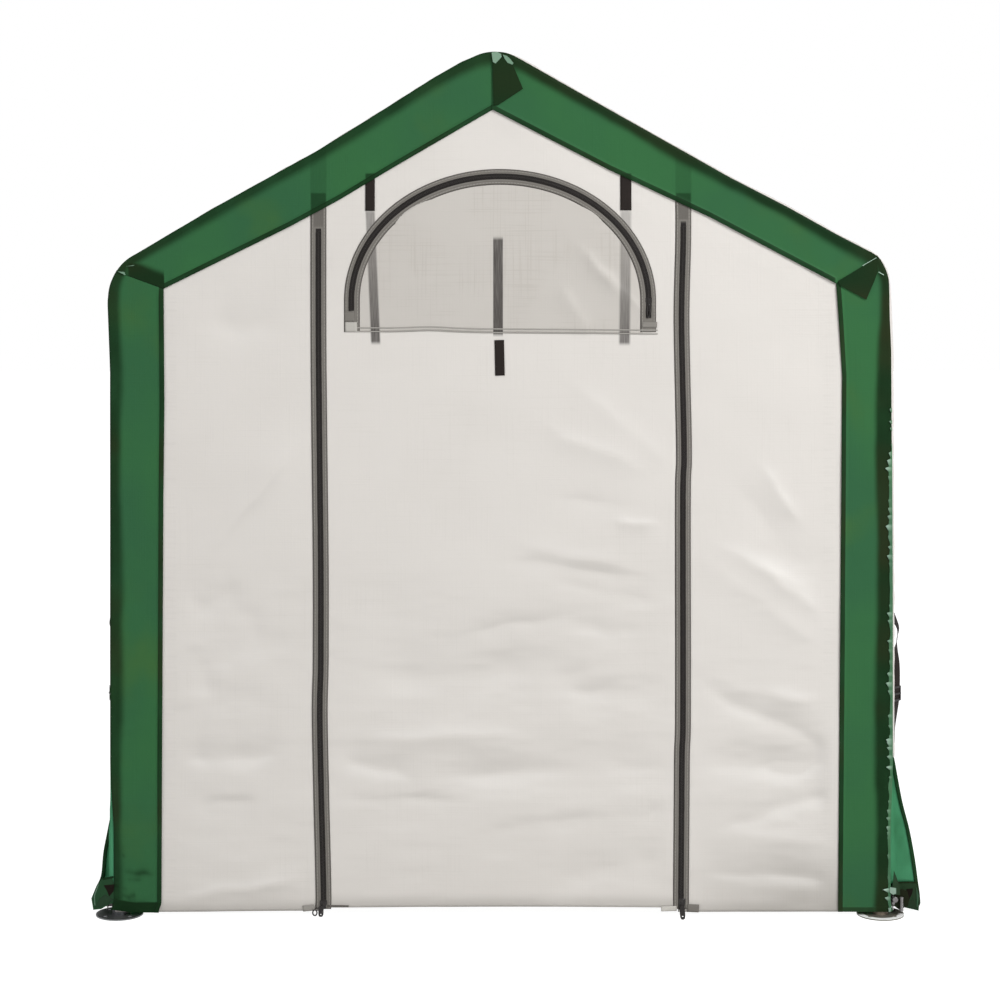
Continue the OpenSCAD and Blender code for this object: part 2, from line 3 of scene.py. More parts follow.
import bmesh
import bpy
import numpy as np
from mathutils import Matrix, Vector


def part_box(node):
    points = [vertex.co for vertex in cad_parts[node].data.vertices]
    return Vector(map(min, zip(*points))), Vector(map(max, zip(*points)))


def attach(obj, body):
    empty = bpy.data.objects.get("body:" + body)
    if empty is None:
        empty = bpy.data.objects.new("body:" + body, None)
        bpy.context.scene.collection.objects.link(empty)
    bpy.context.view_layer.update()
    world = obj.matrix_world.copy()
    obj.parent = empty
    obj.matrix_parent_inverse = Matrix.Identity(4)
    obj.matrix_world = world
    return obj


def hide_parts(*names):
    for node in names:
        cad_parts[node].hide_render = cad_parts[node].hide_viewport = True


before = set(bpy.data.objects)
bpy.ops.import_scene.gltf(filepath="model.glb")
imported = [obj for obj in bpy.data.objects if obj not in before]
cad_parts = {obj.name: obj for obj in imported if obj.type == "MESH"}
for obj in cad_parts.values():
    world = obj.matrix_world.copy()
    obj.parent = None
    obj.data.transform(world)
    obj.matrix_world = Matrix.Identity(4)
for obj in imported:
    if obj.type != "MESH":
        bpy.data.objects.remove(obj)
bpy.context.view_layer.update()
scene = bpy.context.scene
print("frame loaded:", len(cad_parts), "nodes")

# Sizes of the house, from the frame and from the rib's centreline

house = {
    "eaveHeight": 1.476,
    "ridgeHeight": 1.974,
    "bendRadius": 0.085,
}
frontEnd, rearEnd = -1, 1
leftSide, rightSide = -1, 1
legLow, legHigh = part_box("front_legs")
wallLow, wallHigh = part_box("right_wall_cover")
doorLow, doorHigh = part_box("door_panel")
tubeR = (legHigh.y - legLow.y) / 2
halfSpan = legHigh.x - tubeR
ribY = -(legLow.y + tubeR)
coverLift = (wallLow.x + wallHigh.x) / 2 - halfSpan
wallOut = wallHigh.x
skirtSeam = wallLow.z
panelY = -(doorLow.y + doorHigh.y) / 2
bend = house["bendRadius"]
slope = math.atan2(house["ridgeHeight"] - house["eaveHeight"], halfSpan)
eaveTurn = math.pi / 2 - slope
eaveX = halfSpan - bend
eaveZ = house["eaveHeight"] - bend * math.tan(eaveTurn / 2)
ridgeZ = house["ridgeHeight"] - bend / math.cos(slope)
slopeRun = math.hypot(eaveX, ridgeZ - eaveZ)
ridgeEnd = (bend + coverLift) * slope       # distances along the sheet from the ridge
slopeEnd = ridgeEnd + slopeRun
eaveEnd = slopeEnd + (bend + coverLift) * eaveTurn
halfCover = eaveEnd + eaveZ - skirtSeam
swell = {                                   # distance from the ridge, distance off the front rib
    leftSide: [(0, 0.0025), (0.09, 0.0135), (0.16, 0.0135), (0.34, 0.005), (0.48, 0), (0.75, 0.0035),
               (0.95, 0), (1.03, 0.001), (1.09, 0.006), (1.25, 0)],
    rightSide: [(0, 0.0025), (0.04, 0.001), (0.15, 0.001), (0.60, 0.003), (0.75, 0.0095), (0.88, 0.0105),
                (0.985, 0.015), (1.06, 0.003), (1.11, 0.005), (1.20, 0.009), (1.75, 0.012)],
}
trimPeak = (-0.017, 1.8495)
trimInner = [(-0.771, 1.439), (-0.482, 1.5815), (-0.367, 1.6436), (-0.252, 1.7127), trimPeak,
             (0.252, 1.7105), (0.482, 1.6025), (0.770, 1.451)]
trimMitre = {leftSide: ((0.771, 1.439), (0.88, 1.4788)), rightSide: ((0.770, 1.451), (0.863, 1.5105))}
legInner = {                                # height and distance of the leg trim's inner edge
    leftSide: [(0, 0.776), (0.95, 0.7715), (1.18, 0.769), (1.439, 0.771)],
    rightSide: [(0, 0.7745), (1.24, 0.784), (1.37, 0.776), (1.451, 0.770)],
}


def swellAt(t):
    left, right = np.array(swell[leftSide]), np.array(swell[rightSide])
    return np.where(t < 0, np.interp(-t, left[:, 0], left[:, 1]), np.interp(t, right[:, 0], right[:, 1]))


def coverProfile(t, lift):                  # t runs along the sheet from the ridge, left is negative
    radius = bend + coverLift
    side, s = np.where(t < 0, -1.0, 1.0), np.abs(t)
    angle = np.where(s < ridgeEnd, math.pi / 2 - s / radius, eaveTurn)
    angle = np.where(s > slopeEnd, np.maximum(eaveTurn - (s - slopeEnd) / radius, 0), angle)
    down = np.clip(s - ridgeEnd, 0, slopeRun)
    x = np.where(s > slopeEnd, eaveX, down * math.cos(slope))
    z = np.where(s > slopeEnd, eaveZ, ridgeZ - down * math.sin(slope))
    z = z - np.maximum(s - eaveEnd, 0)
    reach = radius + lift
    return side * (x + reach * np.cos(angle)), z + reach * np.sin(angle)


def endOutline(low, high, lift, end):       # outline of one end, lift outside the cover's middle
    t = np.linspace(low, high, 1500)
    return coverProfile(t, lift + (swellAt(t) if end == frontEnd else 0))


def roofLine(x, lift, end):                 # height of the outline over x
    px, pz = endOutline(-eaveEnd, eaveEnd, lift, end)
    return np.interp(x, np.maximum.accumulate(px), pz)


def wallLine(z, side, lift, end):           # distance of the outline from the middle at a height
    px, pz = endOutline(side * (slopeEnd + 0.02), side * halfCover, lift, end)
    return np.interp(z, pz[::-1], np.abs(px[::-1]))


def trimEdge(x):                            # height of the roof trim's inner edge over x
    edge = np.array(trimInner)
    return np.interp(x, edge[:, 0], edge[:, 1])


def mitreLine(x, side):                     # height of the seam between leg trim and roof trim over |x|
    (x0, z0), (x1, z1) = trimMitre[side]
    return z0 + (np.abs(x) - x0) / (x1 - x0) * (z1 - z0)


# Small tools for the shapes

def smoothStep(low, high, value):
    t = np.clip((value - low) / (high - low), 0, 1)
    return t * t * (3 - 2 * t)


def valueNoise(u, v, seed):                 # smooth noise from -1 to 1
    u, v = np.broadcast_arrays(np.asarray(u, float), np.asarray(v, float))
    iu, iv = np.floor(u).astype(np.int64), np.floor(v).astype(np.int64)
    fu, fv = u - iu, v - iv
    fu, fv = fu ** 3 * (fu * (fu * 6 - 15) + 10), fv ** 3 * (fv * (fv * 6 - 15) + 10)

    def corner(a, b):
        h = (a * 374761393 + b * 668265263 + seed * 974634533) & 0xFFFFFFFF
        h = ((h ^ (h >> 13)) * 1274126177) & 0xFFFFFFFF
        return ((h ^ (h >> 16)) & 0xFFFF) / 32767.5 - 1

    low = corner(iu, iv) * (1 - fu) + corner(iu + 1, iv) * fu
    high = corner(iu, iv + 1) * (1 - fu) + corner(iu + 1, iv + 1) * fu
    return low * (1 - fv) + high * fv


def layeredNoise(u, v, seed, layers=3):
    total = 0
    for i in range(layers):
        total = total + valueNoise(u * 2 ** i, v * 2 ** i, seed + i) / 2 ** i
    return total


crease = {"wander": 0.35, "soft": 0.45, "strength": 0.8, "uneven": 0.4}


def foldRelief(x, z, folds):                # valleys from point to point, ridges where the depth is negative
    total = np.zeros(np.broadcast(x, z).shape)
    for (x0, z0), (x1, z1), above, below, depth in folds:
        seed = int(abs(x0) * 997 + z0 * 613)
        length = math.hypot(x1 - x0, z1 - z0)
        along = ((x - x0) * (x1 - x0) + (z - z0) * (z1 - z0)) / length ** 2
        off = ((z - z0) * (x1 - x0) - (x - x0) * (z1 - z0)) / length
        off = off + crease["wander"] * min(above, below) * valueNoise(along * 4, 0, seed)
        fade = np.exp(-((along - 0.5) / 0.5) ** 4)
        fade = fade * (crease["strength"] + crease["uneven"] * valueNoise(along * 3, 5, seed))
        soft = crease["soft"] * min(above, below)
        away = np.sqrt(off ** 2 + soft ** 2) - soft
        total -= depth * fade * np.exp(-away / np.where(off > 0, above, below))
    return total


def smoothPath(points, steps):              # Catmull-Rom line through given points
    p = np.asarray(points, float)
    p = np.vstack([2 * p[0] - p[1], p, 2 * p[-1] - p[-2]])
    out = []
    for i in range(1, len(p) - 2):
        for t in np.linspace(0, 1, steps, endpoint=False):
            a, b, c, d = p[i - 1], p[i], p[i + 1], p[i + 2]
            out.append(0.5 * (2 * b + (c - a) * t + (2 * a - 5 * b + 4 * c - d) * t ** 2
                              + (3 * b - a - 3 * c + d) * t ** 3))
    out.append(p[-2])
    return np.array(out)


def evenPath(points, count):                # the same line with evenly spaced points
    run = np.concatenate([[0], np.cumsum(np.linalg.norm(np.diff(points, axis=0), axis=1))])
    at = np.linspace(0, run[-1], count)
    return np.stack([np.interp(at, run, points[:, k]) for k in range(points.shape[1])], axis=1), at


# A patch is a dictionary of points, faces and paint values, and a piece is made of patches

def gridPatch(points, cloth=None, tone=0.0, mark=0.0, keep=None):
    rows, columns = points.shape[:2]
    index = np.arange(rows * columns).reshape(rows, columns)
    faces = np.stack([index[:-1, :-1], index[:-1, 1:], index[1:, 1:], index[1:, :-1]], axis=-1)
    if keep is not None:
        faces = faces[keep]
    paint = {"tone": np.broadcast_to(tone, (rows, columns)).reshape(-1),
             "mark": np.broadcast_to(mark, (rows, columns)).reshape(-1)}
    cloth = points if cloth is None else cloth
    return {"points": points.reshape(-1, 3), "faces": faces.reshape(-1, 4).tolist(),
            "cloth": np.asarray(cloth, float).reshape(-1, 3), **paint}


def boxPatch(corners, tone=0.0, mark=0.0):  # eight corners: four below in order, then four above
    faces = [[3, 2, 1, 0], [4, 5, 6, 7], [0, 1, 5, 4], [1, 2, 6, 5], [2, 3, 7, 6], [3, 0, 4, 7]]
    corners = np.asarray(corners, float)
    return {"points": corners, "faces": faces, "cloth": corners,
            "tone": np.full(8, tone), "mark": np.full(8, mark)}


def lathePatch(profile, centre, axis, steps=24, tone=0.0, mark=0.0):   # profile of (radius, along)
    axis = np.asarray(axis, float)
    side = np.cross(axis, [0.31, 0.87, 0.39])
    side /= np.linalg.norm(side)
    other = np.cross(axis, side)
    turn = np.linspace(0, 2 * math.pi, steps, endpoint=False)
    ring = np.cos(turn)[:, None] * side + np.sin(turn)[:, None] * other
    points = np.concatenate([np.asarray(centre) + axis * along + radius * ring for radius, along in profile])
    faces = []
    for i in range(len(profile) - 1):
        for j in range(steps):
            k = (j + 1) % steps
            faces.append([i * steps + j, i * steps + k, (i + 1) * steps + k, (i + 1) * steps + j])
    faces.append(list(range(steps))[::-1])
    faces.append(list(range((len(profile) - 1) * steps, len(profile) * steps)))
    return {"points": points, "faces": faces, "cloth": points,
            "tone": np.full(len(points), tone), "mark": np.full(len(points), mark)}


def makePiece(name, patches, finish, slot, replaced=(), thick=0.0, bevel=0.0, smooth=True, weld=0.0):
    rounded = [smooth and not p.get("flat") for p in patches for face in p["faces"]]
    points = np.concatenate([p["points"] for p in patches])
    faces, start = [], 0
    for p in patches:
        faces += [[i + start for i in face] for face in p["faces"]]
        start += len(p["points"])
    mesh = bpy.data.meshes.new(name)
    mesh.from_pydata(points.tolist(), [], faces)
    cloth = mesh.attributes.new("cloth", "FLOAT_VECTOR", "POINT")
    cloth.data.foreach_set("vector",
                           np.concatenate([p["cloth"] for p in patches]).astype(np.float32).ravel())
    for key in ("tone", "mark"):
        layer = mesh.attributes.new(key, "FLOAT", "POINT")
        layer.data.foreach_set("value", np.concatenate([p[key] for p in patches]).astype(np.float32))
    mesh.polygons.foreach_set("use_smooth", rounded)
    used = np.zeros(len(points), bool)
    used[[i for face in faces for i in face]] = True
    if not used.all():
        dropLoosePoints(mesh)
    mesh.materials.append(finish)
    piece = bpy.data.objects.new(name, mesh)
    scene.collection.objects.link(piece)
    if weld:
        piece.modifiers.new("weld", "WELD").merge_threshold = weld
    if bevel:
        edge = piece.modifiers.new("rounding", "BEVEL")
        edge.width, edge.segments, edge.limit_method = bevel, 2, "ANGLE"
    if thick:
        shell = piece.modifiers.new("thickness", "SOLIDIFY")
        shell.thickness, shell.offset = thick, 0
    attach(piece, "root")
    if replaced:
        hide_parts(*replaced)
    return piece


def dropLoosePoints(mesh):
    work = bmesh.new()
    work.from_mesh(mesh)
    for v in [v for v in work.verts if not v.link_faces]:
        work.verts.remove(v)
    work.to_mesh(mesh)
    work.free()


# Shader tools: a wire is a socket that works in sums, a finish is one material

class Wire:
    def __init__(self, finish, socket):
        self.finish, self.socket = finish, socket

    def calc(self, operation, *values):
        return self.finish.add("ShaderNodeMath", {"operation": operation}, dict(enumerate(values)))

    def out(self, name):
        return Wire(self.finish, self.socket.node.outputs[name])

    def __add__(self, other):
        return self.calc("ADD", self, other)

    def __radd__(self, other):
        return self.calc("ADD", other, self)

    def __sub__(self, other):
        return self.calc("SUBTRACT", self, other)

    def __rsub__(self, other):
        return self.calc("SUBTRACT", other, self)

    def __mul__(self, other):
        return self.calc("MULTIPLY", self, other)

    def __rmul__(self, other):
        return self.calc("MULTIPLY", other, self)

    def __truediv__(self, other):
        return self.calc("DIVIDE", self, other)

    def __rtruediv__(self, other):
        return self.calc("DIVIDE", other, self)

    def __pow__(self, other):
        return self.calc("POWER", self, other)

    def __rpow__(self, other):
        return self.calc("POWER", other, self)

    def __abs__(self):
        return self.calc("ABSOLUTE", self)


class Finish:
    def __init__(self, name, world=None):   # a world's nodes are made in the same way
        self.material = world or bpy.data.materials.new(name)
        self.material.use_nodes = True
        self.tree = self.material.node_tree
        self.tree.nodes.clear()

    def add(self, kind, settings=None, sockets=None, out=0):
        node = self.tree.nodes.new(kind)
        for key, value in (settings or {}).items():
            setattr(node, key, value)
        for key, value in (sockets or {}).items():
            if isinstance(value, Wire):
                self.tree.links.new(value.socket, node.inputs[key])
            else:
                node.inputs[key].default_value = value
        return Wire(self, node.outputs[out]) if node.outputs else None

    def place(self):                        # where the point is on the object, in metres
        return self.add("ShaderNodeTexCoord", out="Object")

    def value(self, name, out="Fac"):       # a paint value kept on the mesh
        return self.add("ShaderNodeAttribute", {"attribute_name": name}, out=out)

    def split(self, vector):
        x = self.add("ShaderNodeSeparateXYZ", {}, {0: vector})
        return x, x.out("Y"), x.out("Z")

    def join(self, x, y, z):
        return self.add("ShaderNodeCombineXYZ", {}, {0: x, 1: y, 2: z})

    def stretch(self, vector, factors):
        return self.add("ShaderNodeVectorMath", {"operation": "MULTIPLY"}, {0: vector, 1: factors})

    def noise(self, vector, scale, detail=2.0, roughness=0.5):
        return self.add("ShaderNodeTexNoise", {}, {"Vector": vector, "Scale": scale, "Detail": detail,
                                                   "Roughness": roughness})

    def ramp(self, value, low, high, bottom=0.0, top=1.0):      # smooth step between two values
        return self.add("ShaderNodeMapRange", {"interpolation_type": "SMOOTHSTEP"},
                        {0: value, 1: low, 2: high, 3: bottom, 4: top})

    def window(self, value, low, high, soft):
        rise = self.ramp(value, low - soft, low + soft)
        return rise * self.ramp(value, high - soft, high + soft, 1.0, 0.0)

    def blend(self, factor, first, second):
        return self.add("ShaderNodeMix", {"data_type": "RGBA"}, {0: factor, 6: first, 7: second}, out=2)

    def bump(self, height, strength, distance):
        return self.add("ShaderNodeBump", {}, {"Height": height, "Strength": strength, "Distance": distance})

    def surface(self, colour, roughness, normal=None, glow=0.0, through=None, **constants):
        sockets = {"Base Color": colour, "Roughness": roughness}
        if normal is not None:
            sockets["Normal"] = normal
        for key, value in constants.items():
            sockets[key.replace("_", " ")] = value
        shade = self.add("ShaderNodeBsdfPrincipled", {}, sockets)
        if through:                         # glow is the share of light that comes through the cloth
            soft = self.add("ShaderNodeBsdfTranslucent", {}, {"Color": through})
            shade = self.add("ShaderNodeMixShader", {}, {0: glow, 1: shade, 2: soft})
        return self.close(shade)

    def close(self, shade):
        self.add("ShaderNodeOutputMaterial", {}, {"Surface": shade})
        return self.material


def rgb(red, green, blue):                  # a colour as seen on screen, 0 to 255
    def linear(c):
        c /= 255
        return c / 12.92 if c <= 0.04045 else ((c + 0.055) / 1.055) ** 2.4
    return (linear(red), linear(green), linear(blue), 1.0)


# Finishes

whiteSheet = {
    "colour": rgb(222, 218, 213),
    "thread": rgb(198, 193, 186),
    # the next colour greys the sheet: painted shade in folds, gathers and rib marks, the hems, and towards
    # the foot
    "greyed": rgb(170, 166, 160),
    # the next colour is painted light on folds that lean back
    "paintedLight": rgb(232, 229, 225),
    "shadow": rgb(68, 64, 61),
    "through": rgb(214, 210, 204),
    "threadScale": 300.0,
    "glow": 0.22,
    "gatherAt": (0.735, 0.776, 0.012),      # puckers beside the leg trims: a bump, and painted shade in them
    # the next three grey the sheet towards the foot, most on the right
    "greyAtFoot": (0.01, 0.20),
    "greyToRight": (0.40, 0.70, 0.05, 0.62),
    "greyLowRight": (0.10, 0.50, 0.10, 0.0),
    # shares of painted shade and painted light on the folds
    "foldShadeShare": 0.26,
    "foldLightShare": 0.5,
}


def threadLines(f, cloth, scale):           # uneven threads of the woven tape, both ways
    lengthwise = f.noise(f.stretch(cloth, (scale, 5.0, 0.0)), 1.0, 1.0)
    crosswise = f.noise(f.stretch(cloth, (5.0, scale, 0.0)), 1.0, 1.0)
    return f.ramp(lengthwise, 0.5, 0.75) * 0.5 + f.ramp(crosswise, 0.5, 0.75) * 0.5


def makeWhiteSheet(name, straps=(), dull=0.0, weave=0.2):
    f = Finish(name)
    s = whiteSheet
    cloth = f.value("cloth", "Vector")
    place = f.place()
    x, y, z = f.split(place)
    threads = threadLines(f, cloth, s["threadScale"])
    patchy = f.ramp(f.noise(place, 7.0, 2.0), 0.42, 0.62)
    mottle = f.noise(f.stretch(place, (1.0, 1.0, 1.6)), 2.6, 4.0)
    colour = f.blend(threads * patchy * weave + (mottle - 0.5) * 0.5 + dull, s["colour"], s["thread"])
    # puckers beside the leg trims: a bump, and painted shade
    gather = f.window(abs(x), *s["gatherAt"]) * f.noise(f.stretch(place, (9.0, 9.0, 150.0)), 1.0, 2.0)
    colour = f.blend(f.ramp(gather, 0.45, 0.75) * 0.1, colour, s["greyed"])
    # greyer towards the foot, most on the right
    greyed = f.ramp(z, *s["greyAtFoot"], 1.0, 0.0) * f.ramp(x, *s["greyToRight"])
    greyed = greyed + f.ramp(z, *s["greyLowRight"]) * f.ramp(x, 0.42, 0.50)
    colour = f.blend(greyed * (0.7 + 0.6 * f.noise(place, 9.0, 3.0)), colour, s["greyed"])
    # tone greys the sheet: its hem, the vent flap, and rubbed marks with painted shade at the ribs
    colour = f.blend(f.value("tone") * 0.6, colour, s["greyed"])
    # painted shade and painted light over the folds, from how each fold leans
    lean = f.value("mark")
    colour = f.blend(f.ramp(lean, 0.0, 1.2) * s["foldShadeShare"], colour, s["greyed"])
    colour = f.blend(f.ramp(lean, -1.2, 0.0, s["foldLightShare"], 0.0), colour, s["paintedLight"])
    glow = s["glow"]
    for strap in straps:                    # straps behind the sheet show through as soft bands of painted shadow
        centre = strap["x"] + (strap["top"] - z) * strap["drift"]
        band = f.window(x - centre, -strap["half"], strap["half"], strap["soft"])
        band = band * f.window(z, strap["low"], strap["top"], 0.006)
        depth = f.ramp(z, strap["low"], strap["top"], strap["dark"], strap["faint"])
        streak = f.noise(f.stretch(place, (800.0, 1.0, 25.0)), 1.0, 1.0) * 0.4 + 0.8
        band = band * depth * streak * f.ramp(y, -0.2, 0.2, 1.0, 0.0)
        colour = f.blend(band, colour, s["shadow"])
        glow = glow * (1 - f.ramp(band, 0.0, 1.0))
    height = threads * 0.35 + f.noise(place, 60.0, 3.0) * 0.6 + gather * 0.5
    normal = f.bump(height, 0.22, 0.002)
    roughness = 0.5 + threads * 0.12
    return f.surface(colour, roughness, normal, glow, s["through"], Specular_IOR_Level=0.3)


greenSheet = {
    "colour": rgb(55, 107, 65),
    "deep": rgb(52, 100, 66),
    "olive": rgb(66, 106, 57),
    # dark green for the painted shade of tubes and folds, and for the binding
    "tube": rgb(15, 40, 18),
    "brown": rgb(38, 40, 20),
    "nearBlack": rgb(20, 14, 9),
    "bright": rgb(100, 186, 138),
    "pale": rgb(206, 232, 216),
    "through": rgb(78, 150, 104),
    "threadScale": 260.0,
    "brownFade": (1.4, 1.7, 0.6, 0.3),      # less of the brown tint in the painted tube shade on the roof
}
shownThrough = [                            # painted shadows of the tapes and ties behind the front trim: x, low, high, half, depth
    (-0.4161, 1.55, 1.6585, 0.0175, 0.7),
    (0.4202, 1.55, 1.6585, 0.0175, 0.7),
    (-0.4161, 1.6585, 1.80, 0.0185, 0.22),
    (0.4202, 1.6585, 1.80, 0.0185, 0.22),
    (-0.2978, 1.60, 1.7035, 0.0105, 0.75),
    (0.2884, 1.60, 1.7035, 0.0125, 0.75),
]


def makeGreenSheet(name, glow, backs=()):   # tone: 1 paints the shade of a tube or a fold, -1 paints the light that shines through
    f = Finish(name)
    s = greenSheet
    cloth = f.value("cloth", "Vector")
    place = f.place()
    x, y, z = f.split(place)
    tone = f.value("tone")
    threads = threadLines(f, cloth, s["threadScale"])
    colour = f.blend(f.ramp(f.noise(place, 3.2, 3.0), 0.35, 0.65), s["colour"], s["deep"])
    colour = f.blend(f.ramp(f.noise(place, 4.1, 3.0, 0.6), 0.5, 0.75) * 0.7, colour, s["olive"])
    colour = f.blend(f.ramp(z, 0.0, 0.35, 0.35, 0.0), colour, s["deep"])
    colour = f.blend(threads * 0.25, colour, s["deep"])
    # painted shadows of the tapes and ties behind the trim
    for centre, low, high, half, depth in backs:
        band = f.window(x, centre - half, centre + half, 0.002) * f.window(z, low, high, 0.002)
        colour = f.blend(band * f.ramp(y, -0.2, 0.2, depth, 0.0), colour, s["tube"])
    # painted shade of the tube and of folds, and the dark binding
    uneven = tone * (f.noise(f.stretch(place, (14.0, 14.0, 9.0)), 1.0, 2.0) * 0.5 + 0.75)
    covered = f.ramp(uneven, 0.0, 1.0)
    colour = f.blend(covered, colour, s["tube"])
    # a brown tint in patches of the painted tube shade
    stain = f.ramp(f.noise(f.stretch(place, (2.0, 2.0, 5.0)), 1.0, 2.0), 0.45, 0.65)
    stain = stain * f.ramp(z, *s["brownFade"])
    colour = f.blend(covered * stain, colour, s["brown"])
    # painted shade: near black in the open hem ends and over doubled cloth; the left foot also darkens
    # towards it
    colour = f.blend(f.ramp(tone, 1.0, 1.4), colour, s["nearBlack"])
    # painted light where light shines through the cloth
    colour = f.blend(f.ramp(tone, -1.0, 0.0, 1.0, 0.0), colour, s["bright"])
    # mark paints pale: painted highlights on folds, tucks and edges, and pale frayed threads
    colour = f.blend(f.value("mark"), colour, s["pale"])
    height = threads * 0.5 + f.noise(place, 70.0, 3.0) * 0.6
    normal = f.bump(height, 0.2, 0.002)
    roughness = 0.52 + threads * 0.12
    return f.surface(colour, roughness, normal, glow * (1 - covered), s["through"], Specular_IOR_Level=0.06)


zipTape = {
    "colour": rgb(120, 116, 110),
    "rib": rgb(98, 95, 90),
    "edge": rgb(62, 58, 55),
    "coil": rgb(22, 18, 17),
    "stitch": rgb(164, 161, 155),
    "clear": rgb(204, 201, 194),
    "stitchPitch": 0.0075,
    "stitchRow": (0.0128, 0.0136, 0.0004),  # distances across the tape
    "groove": (0.0100, 0.0108, 0.0008),
    "edgeFrom": (0.0145, 0.0170),
    "coilTo": (0.0058, 0.0068),
}


def makeZipTape(name):                      # cloth x runs across the tape, y along it
    f = Finish(name)
    s = zipTape
    across, along = f.split(f.value("cloth", "Vector"))[:2]
    ribs = f.noise(f.join(across * 900.0, along * 40.0, 0.0), 1.0, 1.0)
    away = abs(across)
    colour = f.blend(ribs, s["colour"], s["rib"])
    colour = f.blend(f.ramp(away, *s["edgeFrom"]) * 0.8, colour, s["edge"])
    colour = f.blend(f.window(away, *s["groove"]) * 0.55, colour, s["edge"])
    stitches = along / s["stitchPitch"]
    dash = f.ramp(abs(stitches.calc("FRACT", stitches) - 0.5), 0.30, 0.36, 1.0, 0.0)
    row = f.window(away, *s["stitchRow"])
    colour = f.blend(row * dash * 0.6, colour, s["stitch"])
    bare = f.value("tone")
    coil = f.ramp(away, *s["coilTo"], 1.0, 0.0) * f.ramp(bare, 0.0, 0.2, 1.0, 0.0)
    colour = f.blend(coil, colour, s["coil"])
    colour = f.blend(f.ramp(bare, 0.2, 1.0), colour, s["edge"])
    colour = f.blend(f.value("mark"), colour, s["clear"])
    height = ribs * 0.4 + row * dash
    return f.surface(colour, 0.75, f.bump(height, 0.4, 0.0006), Specular_IOR_Level=0.25)


nylon = {"colour": rgb(14, 11, 10), "light": rgb(36, 31, 28)}


def makeCoil(name):
    f = Finish(name)
    place = f.place()
    colour = f.blend(f.noise(place, 160.0, 2.0), nylon["colour"], nylon["light"])
    return f.surface(colour, 0.42, f.bump(f.noise(place, 700.0, 2.0), 0.2, 0.0004), Specular_IOR_Level=0.3)


webbing = {"colour": rgb(14, 9, 7), "light": rgb(36, 27, 23), "worn": rgb(24, 20, 19), "pitch": 0.0032}


def makeWebbing(name):                      # cloth x across the strap, y along it
    f = Finish(name)
    across, along = f.split(f.value("cloth", "Vector"))[:2]
    turn = 2 * math.pi / webbing["pitch"]
    warp, weft = across * turn + along * turn * 0.5, across * turn - along * turn * 0.5
    height = warp.calc("SINE", warp) * weft.calc("SINE", weft) * 0.5 + 0.5
    worn = f.noise(f.place(), 45.0, 3.0)
    colour = f.blend(height * 0.45 + worn * 0.35, webbing["colour"], webbing["light"])
    colour = f.blend(f.value("tone"), colour, webbing["worn"])
    return f.surface(colour, 0.75, f.bump(height, 0.5, 0.0006), Specular_IOR_Level=0.2)


buckle = {
    "colour": rgb(24, 20, 19),
    "rubbed": rgb(60, 55, 53),
    "wide": 0.0135,
    "tall": 0.017,
    "deep": 0.0024,
    "rail": 0.0018,
    "bevel": 0.0008,
    "barHalf": 0.0024,
    "barIn": 0.002,
    "barBack": 0.0008,
    "barStep": 0.0018,                      # the middle bar stands this far forward
}


def makeBuckle(name):
    f = Finish(name)
    place = f.place()
    rub = f.ramp(f.noise(place, 90.0, 4.0), 0.55, 0.75)
    colour = f.blend(rub * 0.5, buckle["colour"], buckle["rubbed"])
    return f.surface(colour, 0.35 + rub * 0.2, f.bump(f.noise(place, 420.0, 2.0), 0.25, 0.0005),
                     Specular_IOR_Level=0.35)


# bare is the white of the painted reflection on the right-hand plate
tubeSteel = {"zinc": (0.56, 0.57, 0.58, 1.0), "dull": (0.36, 0.37, 0.38, 1.0), "stain": rgb(112, 98, 78),
             "leftDark": rgb(54, 56, 58), "browned": rgb(52, 40, 35), "bare": (0.93, 0.93, 0.92, 1.0)}
plate = {                                   # right-hand front foot plate, with a painted reflection of the floor
    "middle": (0.875, -1.2),
    "ring": (0.0385 ** 2, 0.0425 ** 2),
    "top": (0.0022, 0.0028),
    "reflectingFront": (-1.21, -1.20),
    "brown": rgb(88, 82, 68),
}


